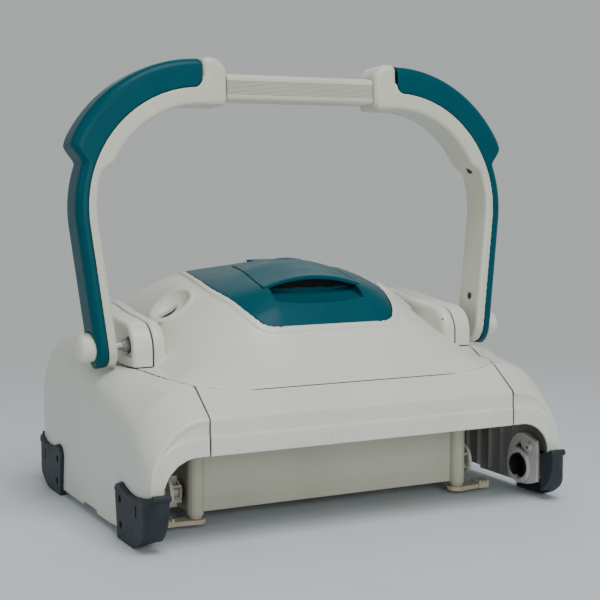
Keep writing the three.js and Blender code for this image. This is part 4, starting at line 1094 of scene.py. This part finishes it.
def seamless(backdrop):
    """Pale floor that fades into the backdrop's grey away from the object."""
    material = plastic("floor", (0.71, 0.76, 0.82), 0.6, tint=0.02, grain=0.0, specular=0.2)
    nodes = material.node_tree.nodes
    links = material.node_tree.links
    where = nodes.new("ShaderNodeTexCoord")
    distance = nodes.new("ShaderNodeVectorMath")
    distance.operation = "LENGTH"
    fade = nodes.new("ShaderNodeMapRange")
    fade.interpolation_type = "SMOOTHSTEP"
    fade.inputs["From Min"].default_value = 0.35
    fade.inputs["From Max"].default_value = 1.3
    glow = nodes.new("ShaderNodeEmission")
    glow.inputs["Color"].default_value = (*backdrop, 1)
    blend = nodes.new("ShaderNodeMixShader")
    output = nodes["Material Output"]
    links.new(where.outputs["Object"], distance.inputs[0])
    links.new(distance.outputs["Value"], fade.inputs["Value"])
    links.new(fade.outputs["Result"], blend.inputs["Fac"])
    links.new(nodes["Principled BSDF"].outputs["BSDF"], blend.inputs[1])
    links.new(glow.outputs["Emission"], blend.inputs[2])
    links.new(blend.outputs["Shader"], output.inputs["Surface"])
    return material


def studio():
    """Pale floor, grey backdrop and four soft lights."""
    backdrop = (0.455, 0.475, 0.47)
    reach = 60000
    floor = made("floor", [(-reach, -reach, 0), (reach, -reach, 0), (reach, reach, 0),
                           (-reach, reach, 0)], [(0, 1, 2, 3)])
    floor.data.materials.append(seamless(backdrop))
    world = bpy.data.worlds.new("studio")
    world.use_nodes = True
    sky = world.node_tree.nodes["Background"]
    sky.inputs["Strength"].default_value = 1.0
    shade_world(world.node_tree, sky, backdrop)
    bpy.context.scene.world = world
    centre = (0, 0, 0.18)
    area_light("key", (0.1, -0.9, 2.3), centre, 1.3, 34)
    area_light("front", (-0.2, -2.4, 0.75), centre, 1.1, 15)
    area_light("fill", (-2.0, -0.6, 1.2), centre, 1.2, 4)
    area_light("back", (0.6, 1.6, 1.6), centre, 1.4, 6)


def shade_world(tree, sky, backdrop):
    """Backdrop grey around the horizon, darker overhead."""
    where = tree.nodes.new("ShaderNodeTexCoord")
    parts = tree.nodes.new("ShaderNodeSeparateXYZ")
    band = tree.nodes.new("ShaderNodeValToRGB")
    band.color_ramp.interpolation = "EASE"
    band.color_ramp.elements[0].position = 0.3
    band.color_ramp.elements[0].color = (*backdrop, 1)
    band.color_ramp.elements[1].position = 0.6
    band.color_ramp.elements[1].color = (*[c * 0.35 for c in backdrop], 1)
    tree.links.new(where.outputs["Generated"], parts.inputs["Vector"])
    tree.links.new(parts.outputs["Z"], band.inputs["Fac"])
    tree.links.new(band.outputs["Color"], sky.inputs["Color"])


def camera():
    """The viewing angle: front left of the object, a little above its top shell."""
    data = bpy.data.cameras.new("camera")
    data.sensor_width = 36
    data.lens = 79.36
    shot = bpy.data.objects.new("camera", data)
    yaw = math.radians(27.018)
    pitch = math.radians(5.347)
    shot.location = (-0.57294, -1.13544, 0.30621)
    ahead = Vector((math.sin(yaw) * math.cos(pitch), math.cos(yaw) * math.cos(pitch), -math.sin(pitch)))
    shot.rotation_euler = ahead.to_track_quat("-Z", "Y").to_euler()
    bpy.context.scene.collection.objects.link(shot)
    bpy.context.scene.camera = shot


camera()
studio()
finish_cad_nodes()
dome()
rails()
outlet_cover()
outlet_lid()
side_covers()
beams()
bumpers()
handle_covers()
handle_shells()
handle_grip()
knobs()
